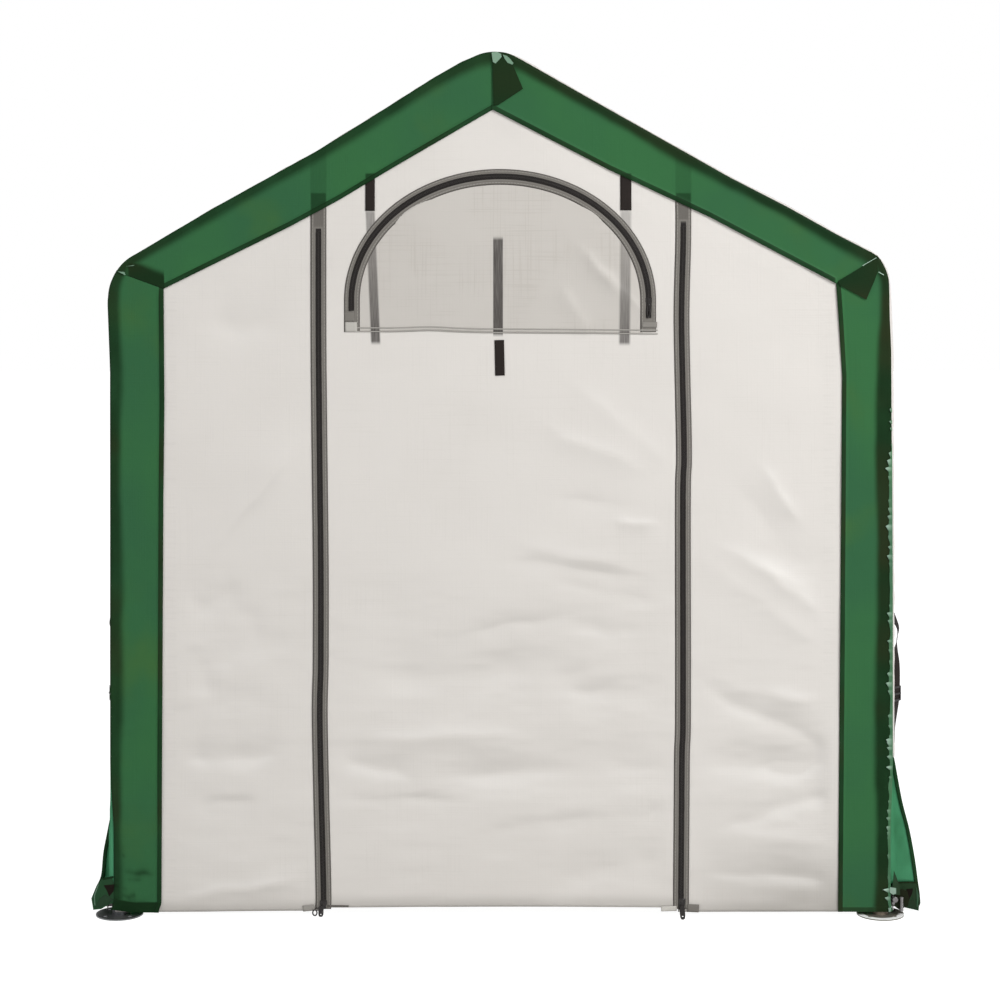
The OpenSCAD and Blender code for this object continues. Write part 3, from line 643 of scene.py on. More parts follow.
def makeTubeSteel(name, darkLeft=0.0, darkFoot=0.0, browned=0.0, lit=0.0):
    f = Finish(name)
    place = f.place()
    x, y, z = f.split(place)
    spangle = f.add("ShaderNodeTexVoronoi", {}, {"Vector": place, "Scale": 55.0}, out="Color")
    grain = f.noise(place, 20.0, 4.0, 0.6)
    shine = f.split(spangle)[0]
    colour = f.blend(shine * 0.4 + grain * 0.3, tubeSteel["zinc"], tubeSteel["dull"])
    stain = f.ramp(f.noise(place, 14.0, 5.0, 0.65), 0.56, 0.72) * f.ramp(z, 0.0, 0.4, 0.6, 0.15)
    colour = f.blend(stain, colour, tubeSteel["stain"])
    # painted shade on the feet of the left-hand tubes, and the left plates darker all over
    low = f.ramp(z, 0.03, 0.12, darkFoot, 0.0)
    onLeft = f.ramp(x, -0.3, 0.3, 1.0, 0.0)
    colour = f.blend(onLeft * (low + darkLeft), colour, tubeSteel["leftDark"])
    muddy = (1 - onLeft) * f.ramp(z, 0.02, 0.05, darkFoot, 0.0)
    colour = f.blend(muddy, colour, tubeSteel["stain"])
    # darker brown metal on the base rails and studs
    colour = f.blend(browned * (0.8 + 0.4 * grain), colour, tubeSteel["browned"])
    metal = (0.92 - stain * 0.6) * (1 - 0.75 * browned) * (1 - 0.7 * muddy)
    if lit:                                 # painted reflection of the white floor along the front of the right-hand plate
        fromX, fromY = x - plate["middle"][0], y - plate["middle"][1]
        ring = f.ramp(fromX * fromX + fromY * fromY, *plate["ring"])
        paintedLight = ring * f.ramp(y, *plate["reflectingFront"], 1.0, 0.0) * f.ramp(z, *plate["top"]) * (1 - onLeft) * lit
        colour = f.blend((1 - onLeft) * 0.9, colour, plate["brown"])
        colour = f.blend(paintedLight, colour, tubeSteel["bare"])
        metal = metal * (1 - paintedLight) * (0.3 + 0.7 * onLeft)
    scratch = f.noise(f.stretch(place, (60.0, 60.0, 900.0)), 1.0, 2.0)
    roughness = 0.3 + grain * 0.2 + stain * 0.3
    normal = f.bump(scratch * 0.5 + shine * 0.3, 0.12, 0.0006)
    return f.surface(colour, roughness, normal, Metallic=metal)


screen = {"gap": rgb(110, 108, 104), "thread": rgb(158, 156, 150), "pitch": 0.0016, "open": 0.25,
          "thick": 0.0004}


def makeScreen(name):                       # fine insect mesh, open between its threads
    f = Finish(name)
    x, y, z = f.split(f.place())
    pitch = 2 * math.pi / screen["pitch"]
    wave = (x * pitch).calc("SINE", x * pitch)
    weft = (z * pitch).calc("SINE", z * pitch)
    thread = wave.calc("MAXIMUM", wave, weft)
    colour = f.blend(f.ramp(thread, 0.2, 1.0), screen["gap"], screen["thread"])
    alpha = f.ramp(thread, -0.1, 0.35, screen["open"], 1.0)
    return f.surface(colour, 0.6, f.bump(thread, 0.4, 0.0005), Alpha=alpha)


doorLeft, doorRight = doorLow.x, doorHigh.x
strapParts = ("x", "top", "low", "half", "soft", "drift", "dark", "faint")
hiddenStraps = [dict(zip(strapParts, row)) for row in (
    (-0.2978, 1.618, 1.314, 0.0105, 0.0025, 0.042, 0.92, 0.70),
    (0.2884, 1.618, 1.312, 0.0122, 0.0035, -0.01, 0.85, 0.47),
    (-0.0045, 1.5555, 1.333, 0.0112, 0.0012, 0.0, 1.0, 0.95),
)]
coverFinish = makeWhiteSheet("cover_white_sheet")
doorFinish = makeWhiteSheet("door_white_sheet", hiddenStraps)
ventFinish = makeWhiteSheet("vent_white_sheet", hiddenStraps, 0.62, 0.9)
greenFinish = makeGreenSheet("trim_green_sheet", 0.22, shownThrough)
skirtFinish = makeGreenSheet("skirt_green_sheet", 0.55)
tapeFinish = makeZipTape("zip_tape_cloth")
coilFinish = makeCoil("zip_coil_nylon")
webFinish = makeWebbing("strap_webbing")
buckleFinish = makeBuckle("buckle_plastic_black")
tubeFinish = makeTubeSteel("galvanised_tube", darkFoot=0.9)
railFinish = makeTubeSteel("soaked_base_rail", browned=0.85)
studFinish = makeTubeSteel("soiled_studs", browned=0.72)
plateFinish = makeTubeSteel("pressed_plate", 0.75, lit=1.0)
screenFinish = makeScreen("insect_screen")
print("finishes made")


# Relief of the two ends: how far the sheet stands out of its plane

doorFolds = [                               # from, to, reach above, reach below, depth
    ((-0.275, 0.5605), (0.1375, 0.5605), 0.045, 0.030, 0.0036),
    ((0.115, 0.542), (0.275, 0.572), 0.015, 0.014, 0.0010),
    ((0.1375, 0.5216), (0.367, 0.5055), 0.022, 0.014, 0.0013),
    ((-0.355, 0.359), (-0.20, 0.320), 0.030, 0.012, 0.0025),
    ((-0.20, 0.322), (0.37, 0.345), 0.035, 0.014, 0.0027),
    ((-0.298, 0.409), (0.069, 0.412), 0.012, 0.040, -0.0018),
    ((-0.046, 0.1845), (0.16, 0.219), 0.012, 0.020, 0.0011),
    ((0.16, 0.219), (0.367, 0.2327), 0.010, 0.020, 0.0015),
    ((-0.355, 0.269), (-0.05, 0.269), 0.008, 0.020, 0.0010),
    ((0.115, 0.072), (0.367, 0.1295), 0.020, 0.020, 0.0020),
    ((0.092, 0.783), (0.355, 0.721), 0.012, 0.018, 0.0009),
    ((0.023, 0.817), (0.321, 0.7715), 0.010, 0.015, 0.0012),
    ((-0.103, 0.641), (0.16, 0.691), 0.010, 0.014, 0.0010),
    ((0.16, 0.668), (0.344, 0.645), 0.016, 0.016, 0.0010),
    ((0.092, 1.127), (0.321, 1.024), 0.014, 0.030, -0.0013),
    ((0.172, 1.207), (0.367, 1.058), 0.014, 0.026, -0.0011),
    ((0.138, 0.955), (0.321, 0.938), 0.010, 0.018, 0.0007),
    ((0.252, 0.9044), (0.365, 0.8976), 0.006, 0.016, -0.0010),
    ((0.012, 0.863), (0.321, 0.794), 0.014, 0.014, -0.0009),
    ((0.1415, 1.4384), (0.197, 1.3463), 0.006, 0.012, -0.0016),
    ((0.2237, 1.491), (0.3223, 1.3955), 0.006, 0.012, -0.0016),
    ((0.184, 1.537), (0.276, 1.425), 0.006, 0.012, -0.0014),
]
sideFolds = [                               # on the right panel, the left one has its own
    ((0.578, 0.817), (0.722, 0.703), 0.010, 0.030, -0.0022),
    ((0.493, 0.852), (0.699, 0.7485), 0.012, 0.028, -0.0014),
    ((0.516, 0.542), (0.722, 0.480), 0.012, 0.025, -0.0013),
    ((0.4585, 0.531), (0.745, 0.385), 0.022, 0.014, 0.0018),
    ((0.493, 0.794), (0.715, 0.634), 0.014, 0.026, -0.0012),
    ((0.46, 0.345), (0.745, 0.345), 0.030, 0.018, 0.0046),
    ((0.520, 0.212), (0.761, 0.274), 0.022, 0.014, 0.0028),
    ((0.48, 0.100), (0.757, 0.086), 0.026, 0.010, 0.0020),
    ((0.539, 0.190), (0.757, 0.165), 0.010, 0.015, -0.0010),
    ((0.596, 1.035), (0.688, 0.909), 0.008, 0.020, -0.0013),
    ((0.539, 0.978), (0.699, 0.794), 0.020, 0.020, 0.0012),
]
leftFolds = [
    ((-0.699, 0.537), (-0.539, 0.668), 0.025, 0.025, 0.0020),
    ((-0.711, 0.675), (-0.596, 0.748), 0.020, 0.020, 0.0013),
    ((-0.711, 0.361), (-0.52, 0.366), 0.040, 0.012, 0.0026),
    ((-0.720, 0.258), (-0.540, 0.258), 0.010, 0.020, 0.0008),
    ((-0.642, 0.863), (-0.465, 1.0925), 0.030, 0.012, -0.0016),
    ((-0.690, 1.3640), (-0.490, 1.3500), 0.030, 0.024, 0.0018),
    ((-0.70, 0.050), (-0.45, 0.085), 0.012, 0.016, -0.0018),
]
endCloth = {
    "spread": 1.45,                         # the cloth bends wider than the crease itself
    "rearDepth": 0.8,
    "rearTop": 1.3,                         # the rear vent stays smooth
    "billow": 0.0022,
    "ripple": 0.0012,
    "rippleOver": (1.1, 0.5),
    "limit": 0.012,
    "underLeg": (0.776, 0.725),
    "underRoof": (0.004, -0.06),
    "leanStep": 0.004,
    "leanGain": 5.0,
}
slackness = ((3.4, doorFolds), (3.3, sideFolds), (3.6, leftFolds))
frontFolds, rearFolds = [], []
for slack, folds in slackness:
    for start, stop, above, below, depth in folds:
        reach = (endCloth["spread"] * above, endCloth["spread"] * below)
        frontFolds.append((start, stop, *reach, slack * depth))
        if start[1] < endCloth["rearTop"]:
            mirrored = ((-stop[0], stop[1]), (-start[0], start[1]))
            rearFolds.append((*mirrored, *reach, endCloth["rearDepth"] * (slack * depth)))


def endRelief(x, z, end):                   # zero under the trim, so that the trim lies flat on the panel
    x, z = np.broadcast_arrays(np.asarray(x, float), np.asarray(z, float))
    seed = 11 if end == frontEnd else 47
    relief = foldRelief(x, z, frontFolds if end == frontEnd else rearFolds)
    relief = relief + endCloth["billow"] * layeredNoise(x * 2.2 + 7, z * 3.1, seed)
    loose = smoothStep(*endCloth["rippleOver"], z)
    relief = relief + endCloth["ripple"] * loose * layeredNoise(x * 5, z * 16, seed + 5)
    inside = smoothStep(*endCloth["underLeg"], np.abs(x))
    under = smoothStep(*endCloth["underRoof"], z - trimEdge(x))
    return np.clip(relief, -endCloth["limit"], endCloth["limit"]) * inside * under


def foldShade(x, z, end):                   # painted shade where the sheet leans forward over a fold, painted light where it leans back
    step = endCloth["leanStep"]
    lean = (endRelief(x, z + step, end) - endRelief(x, z - step, end)) / (2 * step)
    return np.clip(endCloth["leanGain"] * lean, -1, 1)


def endPoint(x, z, lift, end):              # lift is how far in front of the panel's middle plane
    x, z = np.broadcast_arrays(np.asarray(x, float), np.asarray(z, float))
    return np.stack([x, end * (panelY + lift + endRelief(x, z, end)), z], axis=-1)


# Vent outline

vent = {
    "base": 1.340,
    "half": 0.3583,
    "spring": 1.4117,
    "rise": 0.3026,
    "tape": 0.0345,
    "band": 0.0105,
    "stop": 0.034,
    "coilFrom": 0.048,
    "flapLap": 0.004,
    "flapFlat": 0.07,
    "screenLap": 0.020,
    "screenFlat": 0.08,
    "bulge": 0.002,
    "bulgeOver": 0.08,                      # past the arch, so that it stays full near the top
    "flapFront": 0.0003,
    "screenBack": -0.0022,
    "flapTone": 0.35,
}
ventBase, ventHalf, ventSpring, ventRise = vent["base"], vent["half"], vent["spring"], vent["rise"]


def ventLine(inset, count):                 # right foot, over the arch, left foot
    half, rise = ventHalf - inset, ventRise - inset
    turn = np.linspace(0, math.pi, 160)
    arch = np.stack([half * np.cos(turn), ventSpring + rise * np.sin(turn)], axis=1)
    line = np.vstack([[half, ventBase], arch, [-half, ventBase]])
    return evenPath(line, count)


def insideVent(x, z, inset, foot):
    half, rise = ventHalf - inset, ventRise - inset
    arch = ventSpring + rise * np.sqrt(np.maximum(1 - (x / half) ** 2, 0))
    return (np.abs(x) < half) & (z > ventBase + foot) & (z < arch)


# Sheets of the two ends

sheetThick = 0.0006
panels = {
    "headIn": -0.001,
    "hem": (0.036, 0.002),
    "tuck": 0.004,                          # the door goes this far under the zip tapes
    "doorFoot": (0.0195, 0.003, 3.2),       # height, bow, turn of the bow
    "doorFlat": (0.01, 2.0),                # hem allowance and length as cut
    "sideFlat": 1.78,
    "edgeIn": 0.0115,                       # the side panels end behind the trim and the zip tapes
    "seam": 0.408,
    "leftFoot": (0.0100, 0.003, -0.86, -0.45),
    "rightFoot": 0.0108,
    "rearFoot": 0.012,
    "sideBack": -0.0007,
}


def panelPatch(xs, foot, rows, end, lift=0.0, hole=False):
    head = roofLine(xs, panels["headIn"], end)
    share = np.linspace(0, 1, rows)[:, None]
    z = foot(xs)[None, :] + share * (head - foot(xs))[None, :]
    x = np.broadcast_to(xs, z.shape)
    keep = None
    if hole:
        inset = vent["tape"] / 2
        inner = insideVent(x, z, inset, vent["band"] / 2)
        keep = ~(inner[:-1, :-1] & inner[:-1, 1:] & inner[1:, 1:] & inner[1:, :-1])
        cut, kept = np.zeros(inner.shape, bool), np.zeros(inner.shape, bool)
        for a in (slice(0, -1), slice(1, None)):
            for b in (slice(0, -1), slice(1, None)):
                cut[a, b] |= ~keep
                kept[a, b] |= keep
        rim = cut & kept
        arch, sill = ventLine(inset, 700)[0], ventBase + vent["band"] / 2
        base = np.stack([np.linspace(-arch[0, 0], arch[0, 0], 300), np.full(300, sill)], axis=1)
        line = np.vstack([arch[arch[:, 1] > sill], base])
        x, z = x.copy(), z.copy()
        for i, j in zip(*np.nonzero(rim)):
            near = line[np.argmin((line[:, 0] - x[i, j]) ** 2 + (line[:, 1] - z[i, j]) ** 2)]
            x[i, j], z[i, j] = near
    points = endPoint(x, z, lift, end)
    hem = smoothStep(*panels["hem"], z - foot(xs)[None, :])
    return gridPatch(points, np.stack([x, z, z * 0], axis=-1), tone=hem, mark=foldShade(x, z, end),
                     keep=keep)


def sheetArea(patches):                     # flat area of the patches, as cut
    total = 0
    for p in patches:
        corners = p["cloth"][np.asarray(p["faces"])]
        turns = np.cross(corners, np.roll(corners, -1, axis=1)).sum(axis=1)
        total += 0.5 * np.linalg.norm(turns, axis=1).sum()
    return float(total)


def declareSheet(patches, flat, restsOn):
    min(sheetArea(patches), flat[0] * flat[1])


def makePanels():
    low, bow, turn = panels["doorFoot"]
    xs = np.linspace(doorLeft - panels["tuck"], doorRight + panels["tuck"], 110)
    patches = [panelPatch(xs, lambda x: low + bow * np.cos(x * turn), 290, frontEnd, hole=True)]
    door = makePiece("door_sheet", patches, doorFinish, "cover_white", ["door_panel"], sheetThick)
    allowance, tall = panels["doorFlat"]
    declareSheet(patches, (doorRight - doorLeft + allowance, tall), ["front_rafters"])
    edge, seam = wallOut - panels["edgeIn"], panels["seam"]
    leftLow, leftRise, leftFrom, leftTo = panels["leftFoot"]
    feet = {leftSide: lambda x: leftLow + leftRise * smoothStep(leftFrom, leftTo, x),
            rightSide: lambda x: panels["rightFoot"] + 0 * x}
    for side, name in ((leftSide, "front_left_panel"), (rightSide, "front_right_panel")):
        xs = np.sort(side * np.linspace(seam, edge, 60))
        patches = [panelPatch(xs, feet[side], 240, frontEnd, panels["sideBack"])]
        piece = makePiece(name + "_sheet", patches, coverFinish, "cover_white", [name], sheetThick)
        declareSheet(patches, (edge - seam, panels["sideFlat"]),
                     ["front_rafters", "front_legs"])
    xs = np.linspace(-edge, edge, 150)
    patches = [panelPatch(xs, lambda x: panels["rearFoot"] + 0 * x, 190, rearEnd, hole=True)]
    rear = makePiece("rear_sheet", patches, coverFinish, "cover_white", ["rear_panel"], sheetThick)
    declareSheet(patches, (2 * edge, tall), ["rear_rafters", "rear_legs"])
    print("end panels made")


# Main cover: one sheet from skirt seam to skirt seam over the ridge

mainCover = {
    "sagRoof": 0.011,
    "sagWall": 0.006,
    "wallFrom": (0.10, 0.35),
    "slack": 0.004,
    "fineSlack": 0.0016,
    "drag": 0.004,
    "pucker": 0.0012,
    "hemPucker": 0.001,
    "swellKept": (0.3, 0.7, 0.45),          # share all along, share at the front, how far back that goes
    "edgeRound": 0.005,
    "edgeFlat": 0.016,
    "faceY": 0.0009,
    "hemAllowance": 0.03,
    # width of the rubbed marks and painted shade at the ribs
    "ribBand": 0.016,
}


def coverRelief(t, y):                      # inward sag between the ribs, slack folds, gathers at the ends
    m, s = mainCover, np.abs(t)
    bay = np.sin(math.pi * np.clip(np.abs(y) / ribY, 0, 1)) ** 2
    onWall = smoothStep(slopeRun + m["wallFrom"][0], slopeRun + m["wallFrom"][1], s)
    sag = -bay * (m["sagRoof"] * (1 - onWall) + m["sagWall"] * onWall)
    side = np.where(t < 0, 3, 0)
    slack = layeredNoise(t * 2.4 + side, y * 1.7, 71) * m["slack"]
    slack = slack + layeredNoise(t * 9, y * 2.2 + side, 83) * m["fineSlack"]
    drag = np.abs(valueNoise((s - np.abs(y) * 0.7) * 7, s * 0.8 + side, 19)) * m["drag"]
    seam = smoothStep(halfCover, halfCover - 0.05, s)
    pucker = np.exp(-(panelY - np.abs(y)) / 0.018) * m["pucker"] * valueNoise(t / 0.021, np.sign(y) * 5, 29)
    hemPucker = np.exp(-(halfCover - s) / 0.02) * m["hemPucker"] * valueNoise(y / 0.024, side, 31)
    always, front, reach = m["swellKept"]
    stand = swellAt(t) * (always + front * np.exp(-((y + panelY) / reach) ** 2))
    return sag + (slack - drag) * (0.12 + 0.88 * bay) * (0.3 + 0.7 * seam) + pucker + hemPucker + stand


def makeMainCover():
    ts = np.linspace(-halfCover, halfCover, 245)
    face, turn, flat = panelY + mainCover["faceY"], mainCover["edgeRound"], mainCover["edgeFlat"]
    edge = [(face, flat), (face, (flat + turn) / 2), (face, turn)]
    edge += [(face - turn + turn * math.cos(a), turn - turn * math.sin(a)) for a in (0.5, 1.0)]
    middle = [(v, 0.0) for v in np.linspace(face - turn, -face + turn, 138)]
    rows = edge + middle + [(-v, inset) for v, inset in edge[::-1]]
    points, cloth, tone = [], [], []
    for y, inset in rows:
        out = coverRelief(ts, np.full(ts.shape, y))
        if inset >= turn:                   # the turned edge lies flat on the end panel
            out = swellAt(ts) if y < 0 else 0 * ts
        x, z = coverProfile(ts, out - inset)
        points.append(np.stack([x, np.full(ts.shape, y), z], axis=-1))
        cloth.append(np.stack([ts, np.full(ts.shape, y), ts * 0], axis=-1))
        # rubbed marks and painted shade where the ribs touch the cover
        rub = sum(math.exp(-((abs(y) - rib) / mainCover["ribBand"]) ** 2) for rib in (0, ribY))
        tone.append(np.full(ts.shape, 0.5 * min(rub, 1)))
    patches = [gridPatch(np.array(points), np.array(cloth), tone=np.array(tone))]
    replaced = ["left_wall_cover", "right_wall_cover", "left_roof_cover", "right_roof_cover"]
    piece = makePiece("main_cover_sheet", patches, coverFinish, "cover_white", replaced, sheetThick)
    declareSheet(patches, (2 * halfCover, 2 * panelY + mainCover["hemAllowance"]),
                 ["front_rafters", "middle_rafters", "rear_rafters"])
    print("main cover made")


# Skirts: flared green sheets with the base rail in a hem pocket

skirt = {
    "halfLength": 1.178,
    "bound": 0.006,
    "wallLap": 0.0018,                      # its top follows the wall at this distance
    "drawnOver": (0.025, 0.17),
    "turn": 0.011,                          # round the leg, before the gusset runs out to the flare
    "flare": 0.30,
    "wide": 0.003,
    "wave": 0.0020,
    "pucker": 0.0012,
    "pocketFlat": 0.06,
    "tapeFoot": 0.014,
    "tapeTop": 0.008,
    # tape folded round each end: distance outward, distance past the end
    "binding": [(-0.0075, 0.0032), (-0.0050, 0.0032), (-0.0025, 0.0032), (0.0004, 0.0032), (0.0010, 0.0024),
                (0.0010, -0.0080)],
    "gusset": (0.066, 0.374),
    "gussetFront": 1.2181,                  # it laps round the leg, under the trim
    rightSide: [(0.9030, 0.384), (0.9105, 0.350), (0.9275, 0.258), (0.9445, 0.191), (0.9570, 0.124),
                (0.9646, 0.0685), (0.9690, 0.036), (0.9660, 0.0125), (0.9280, 0.0150), (0.9080, 0.020),
                (0.9070, 0.036), (0.9140, 0.050)],
    leftSide: [(0.8942, 0.384), (0.8945, 0.255), (0.9040, 0.196), (0.9150, 0.138), (0.9205, 0.084),
               (0.9330, 0.055), (0.9405, 0.032), (0.9340, 0.0145), (0.9130, 0.0155), (0.9070, 0.032),
               (0.9120, 0.050)],
}
hemFolds = {                                # ends of each hem pocket: corners, distance forward, tone, mark; tone over 1 paints the shade in the open ends, mark paints pale highlights and frayed threads
    rightSide: [
        ([(0.9170, 0.0690), (0.9425, 0.0700), (0.9610, 0.0690), (0.9692, 0.0345), (0.9670, 0.0025),
          (0.9558, 0.0054), (0.9354, 0.0100), (0.9343, 0.0345), (0.9170, 0.0560)], 1.1815, 0.68, 0.01),
        ([(0.9031, 0.1058), (0.9170, 0.0690), (0.9170, 0.0500), (0.8980, 0.0500)], 1.2195, 0.72, 0.015),
        ([(0.9168, 0.0691), (0.9422, 0.0703), (0.9606, 0.0691), (0.9620, 0.0660), (0.9422, 0.0672),
          (0.9168, 0.0660)], 1.1825, 1.05, 0.0),
        ([(0.9387, 0.0530), (0.9537, 0.0541), (0.9514, 0.0414), (0.9445, 0.0276), (0.9376, 0.0300)],
         1.1825, 1.5, 0.0),
        ([(0.9341, 0.0276), (0.9560, 0.0276), (0.9640, 0.0068), (0.9352, 0.0126)], 1.1825, 1.0, 0.015),
        ([(0.9606, 0.0600), (0.9668, 0.0380), (0.9640, 0.0120), (0.9622, 0.0120), (0.9620, 0.0380)],
         1.1830, 0.0, 0.1),
        ([(0.8987, 0.0539), (0.9102, 0.0608), (0.9239, 0.0619), (0.9354, 0.0562), (0.9388, 0.0401),
          (0.9365, 0.0229), (0.9274, 0.0195), (0.9170, 0.0138), (0.9090, 0.0195), (0.8990, 0.0287)],
         1.2145, 1.22, 0.0),
        ([(0.8930, 0.0687), (0.9072, 0.0664), (0.9072, 0.0538), (0.9003, 0.0515), (0.8930, 0.0561)],
         1.2235, 0.0, 0.85),
        ([(0.8895, 0.0215), (0.8955, 0.0215), (0.8950, 0.0120), (0.8905, 0.0115)], 1.2235, 0.0, 0.7),
    ],
    leftSide: [
        ([(0.9120, 0.0876), (0.8890, 0.0922), (0.8854, 0.0739), (0.8854, 0.0303), (0.8948, 0.0292),
          (0.9138, 0.0175), (0.9324, 0.0154), (0.9368, 0.0418), (0.9266, 0.0670)], 1.2192, 0.66, 0.01),
        ([(0.9118, 0.0879), (0.8868, 0.0930), (0.8864, 0.0885), (0.9104, 0.0835)], 1.2197, 1.05, 0.0),
        ([(0.9081, 0.0719), (0.8838, 0.0742), (0.8861, 0.0581), (0.8955, 0.0466), (0.9012, 0.0604)],
         1.2200, 1.5, 0.0),
        ([(0.9196, 0.0398), (0.9058, 0.0512), (0.8858, 0.0398), (0.8966, 0.0306), (0.9150, 0.0226),
          (0.9276, 0.0214)], 1.2200, 0.9, 0.02),
        ([(0.9214, 0.0742), (0.9191, 0.0742), (0.9283, 0.0489), (0.9274, 0.0260), (0.9297, 0.0260),
          (0.9310, 0.0489)], 1.2200, 0.0, 0.3),
    ],
}


def skirtOut(side, z):                      # distance of the skirt's outer run at a height
    run = smoothPath(skirt[side], 8)
    outer = run[:np.argmin(run[:, 1]) + 1]
    return np.interp(z, outer[::-1, 1], outer[::-1, 0])


def skirtEnd(side, end):                    # gusset that closes the flare, and the bound edge before it
    low, high = skirt["gusset"]
    z = np.linspace(low, high, 30)[:, None]
    out = skirtOut(side, z)
    front, back = skirt["gussetFront"], skirt["halfLength"] + 0.001
    inner = halfSpan - tubeR * 0.3
    corner = np.minimum(wallOut + 0.0008, out - 0.0005)
    turned = np.minimum(wallOut + skirt["turn"], out)
    lap, turn = np.linspace(0, 1, 6), np.linspace(0, 1, 8)[1:]
    x = np.concatenate([inner + lap * (corner - inner), corner + turn * (turned - corner),
                        turned + lap[1:] * np.maximum(out - turned, 0.0005)], axis=1)
    y = np.concatenate([front + 0 * lap, front + (back - front) * smoothStep(0, 1, turn),
                        back + 0 * lap[1:]])
    y = y[None, :] + 0.0008 * np.abs(layeredNoise(x * 30, z * 12, 61 + side)) * (x > wallOut + skirt["turn"])
    shade = 0.25 * layeredNoise(x * 40, z * 16, 67 + side)
    z = z + 0 * x
    points, cloth = np.stack([side * x, end * y, z], axis=-1), np.stack([x, z, 0 * x], axis=-1)
    # painted light through the gusset
    patches = [gridPatch(points, cloth, tone=-0.85 + shade)]
    z = np.linspace(skirt["tapeFoot"], high + skirt["tapeTop"], 60)[:, None]
    outward, past = np.array(skirt["binding"]).T
    x = skirtOut(side, z) + outward[None, :]
    y = skirt["halfLength"] + past[None, :] + 0 * x
    patches.append(gridPatch(np.stack([side * x, end * y, z + 0 * x], axis=-1),
                             np.stack([x, z + 0 * x, y], axis=-1), tone=0.75))
    for corners, forward, tone, mark in hemFolds[side]:
        if end == frontEnd or mark < 0.5:
            patches.append(foldPatch([(side * a, b) for a, b in corners], end * forward, tone, mark))
    return patches


def makeSkirt(side):
    outline = evenPath(smoothPath(skirt[side], 8), 72)[0]
    run = np.concatenate([[0], np.cumsum(np.linalg.norm(np.diff(outline, axis=0), axis=1))])
    half, bound = skirt["halfLength"], skirt["bound"]
    between = np.linspace(-half + 2 * bound, half - 2 * bound, 150)
    ys = np.concatenate([[-half, -half + bound / 2, -half + bound], between,
                         [half - bound, half - bound / 2, half]])
    low = smoothStep(0.0, skirt["flare"], run)
    hang = smoothStep(run[-1], run[-1] - 0.10, run)
    inward = half - np.abs(ys)
    wide = skirt["wide"] * (valueNoise(ys * 6, 0, 7 + side) + 0.4) * smoothStep(0.0, 0.2, inward)
    wave = layeredNoise(ys[:, None] * 9, run[None, :] * 6, 37 + side) * smoothStep(0.0, 0.1, inward)[:, None]
    wave = skirt["wave"] * wave
    pucker = skirt["pucker"] * valueNoise(ys / 0.022, 0, 41 + side)[:, None] * np.exp(-run / 0.025)[None, :]
    x = outline[None, :, 0] + wide[:, None] * (low * hang)[None, :] + wave * (low * hang)[None, :]
    reach = side * np.minimum(halfCover - outline[:, 1] + skirtSeam, halfCover)[None, :]
    wallX = side * coverProfile(reach, coverRelief(reach, ys[:, None]))[0]
    drawn = (1 - smoothStep(*skirt["drawnOver"], run))[None, :] * smoothStep(0.0, 0.04, inward)[:, None]
    x = x + np.minimum(wallX + skirt["wallLap"] - x, 0) * drawn + pucker
    z = np.broadcast_to(outline[None, :, 1], x.shape)
    points = np.stack([side * x, np.broadcast_to(ys[:, None], x.shape), z], axis=-1)
    cloth = np.stack([ys[:, None] + 0 * x, run[None, :] + 0 * x, x * 0], axis=-1)
    # painted light through the skirt's face, darker on the pocket's return, dark binding
    pocket = np.arange(len(run)) > np.argmin(outline[:, 1])
    tone = np.where(pocket, 0.3, -0.6)[None, :] + 0 * x
    tone = np.where((np.abs(ys) > half - bound - 0.001)[:, None], 0.9, tone)
    patches = [gridPatch(points, cloth, tone=tone)] + skirtEnd(side, frontEnd) + skirtEnd(side, rearEnd)
    name = "right_skirt" if side == rightSide else "left_skirt"
    flat = (2 * half, float(run[-1]) + skirt["pocketFlat"])
    piece = makePiece(name + "_sheet", patches, skirtFinish, "trim_green", [name], sheetThick)
    declareSheet(patches, flat, [name.split("_")[0] + "_base_rail"])


# Green border trim of the two ends

trim = {
    "lift": 0.0018,
    "roofLift": 0.0026,                     # the roof trim laps over the leg trim
    "binding": 0.0102,
    "bindingLift": 0.0009,
    "lap": 0.003,
    "ridgeLap": 0.0005,
    "thick": 0.0007,
    "rough": 0.0011,
    "gather": 0.8,
    "deepest": (0.0006, 0.0003),            # how far it may sink, and how much more beside the skirt
    "hemHigh": {leftSide: 0.026, rightSide: 0.013},
    "foldFront": (0.0022, 0.0008),          # the doubled corners lie in steps before the trim
    "legFlat": (0.30, 1.50),
    "roofFlat": (0.28, 1.03),
    "wallShows": {leftSide: -0.0004, rightSide: 0.0055},       # edge of the cover left bare outside the trim
    "footShows": {leftSide: 0.0082, rightSide: 0.0052},        # the trims are drawn in over their feet
    "hemIn": {leftSide: 0.006, rightSide: 0.0},                # and the left one narrows at its hem
    "roofShows": {leftSide: 0.0008, rightSide: 0.0035},
}
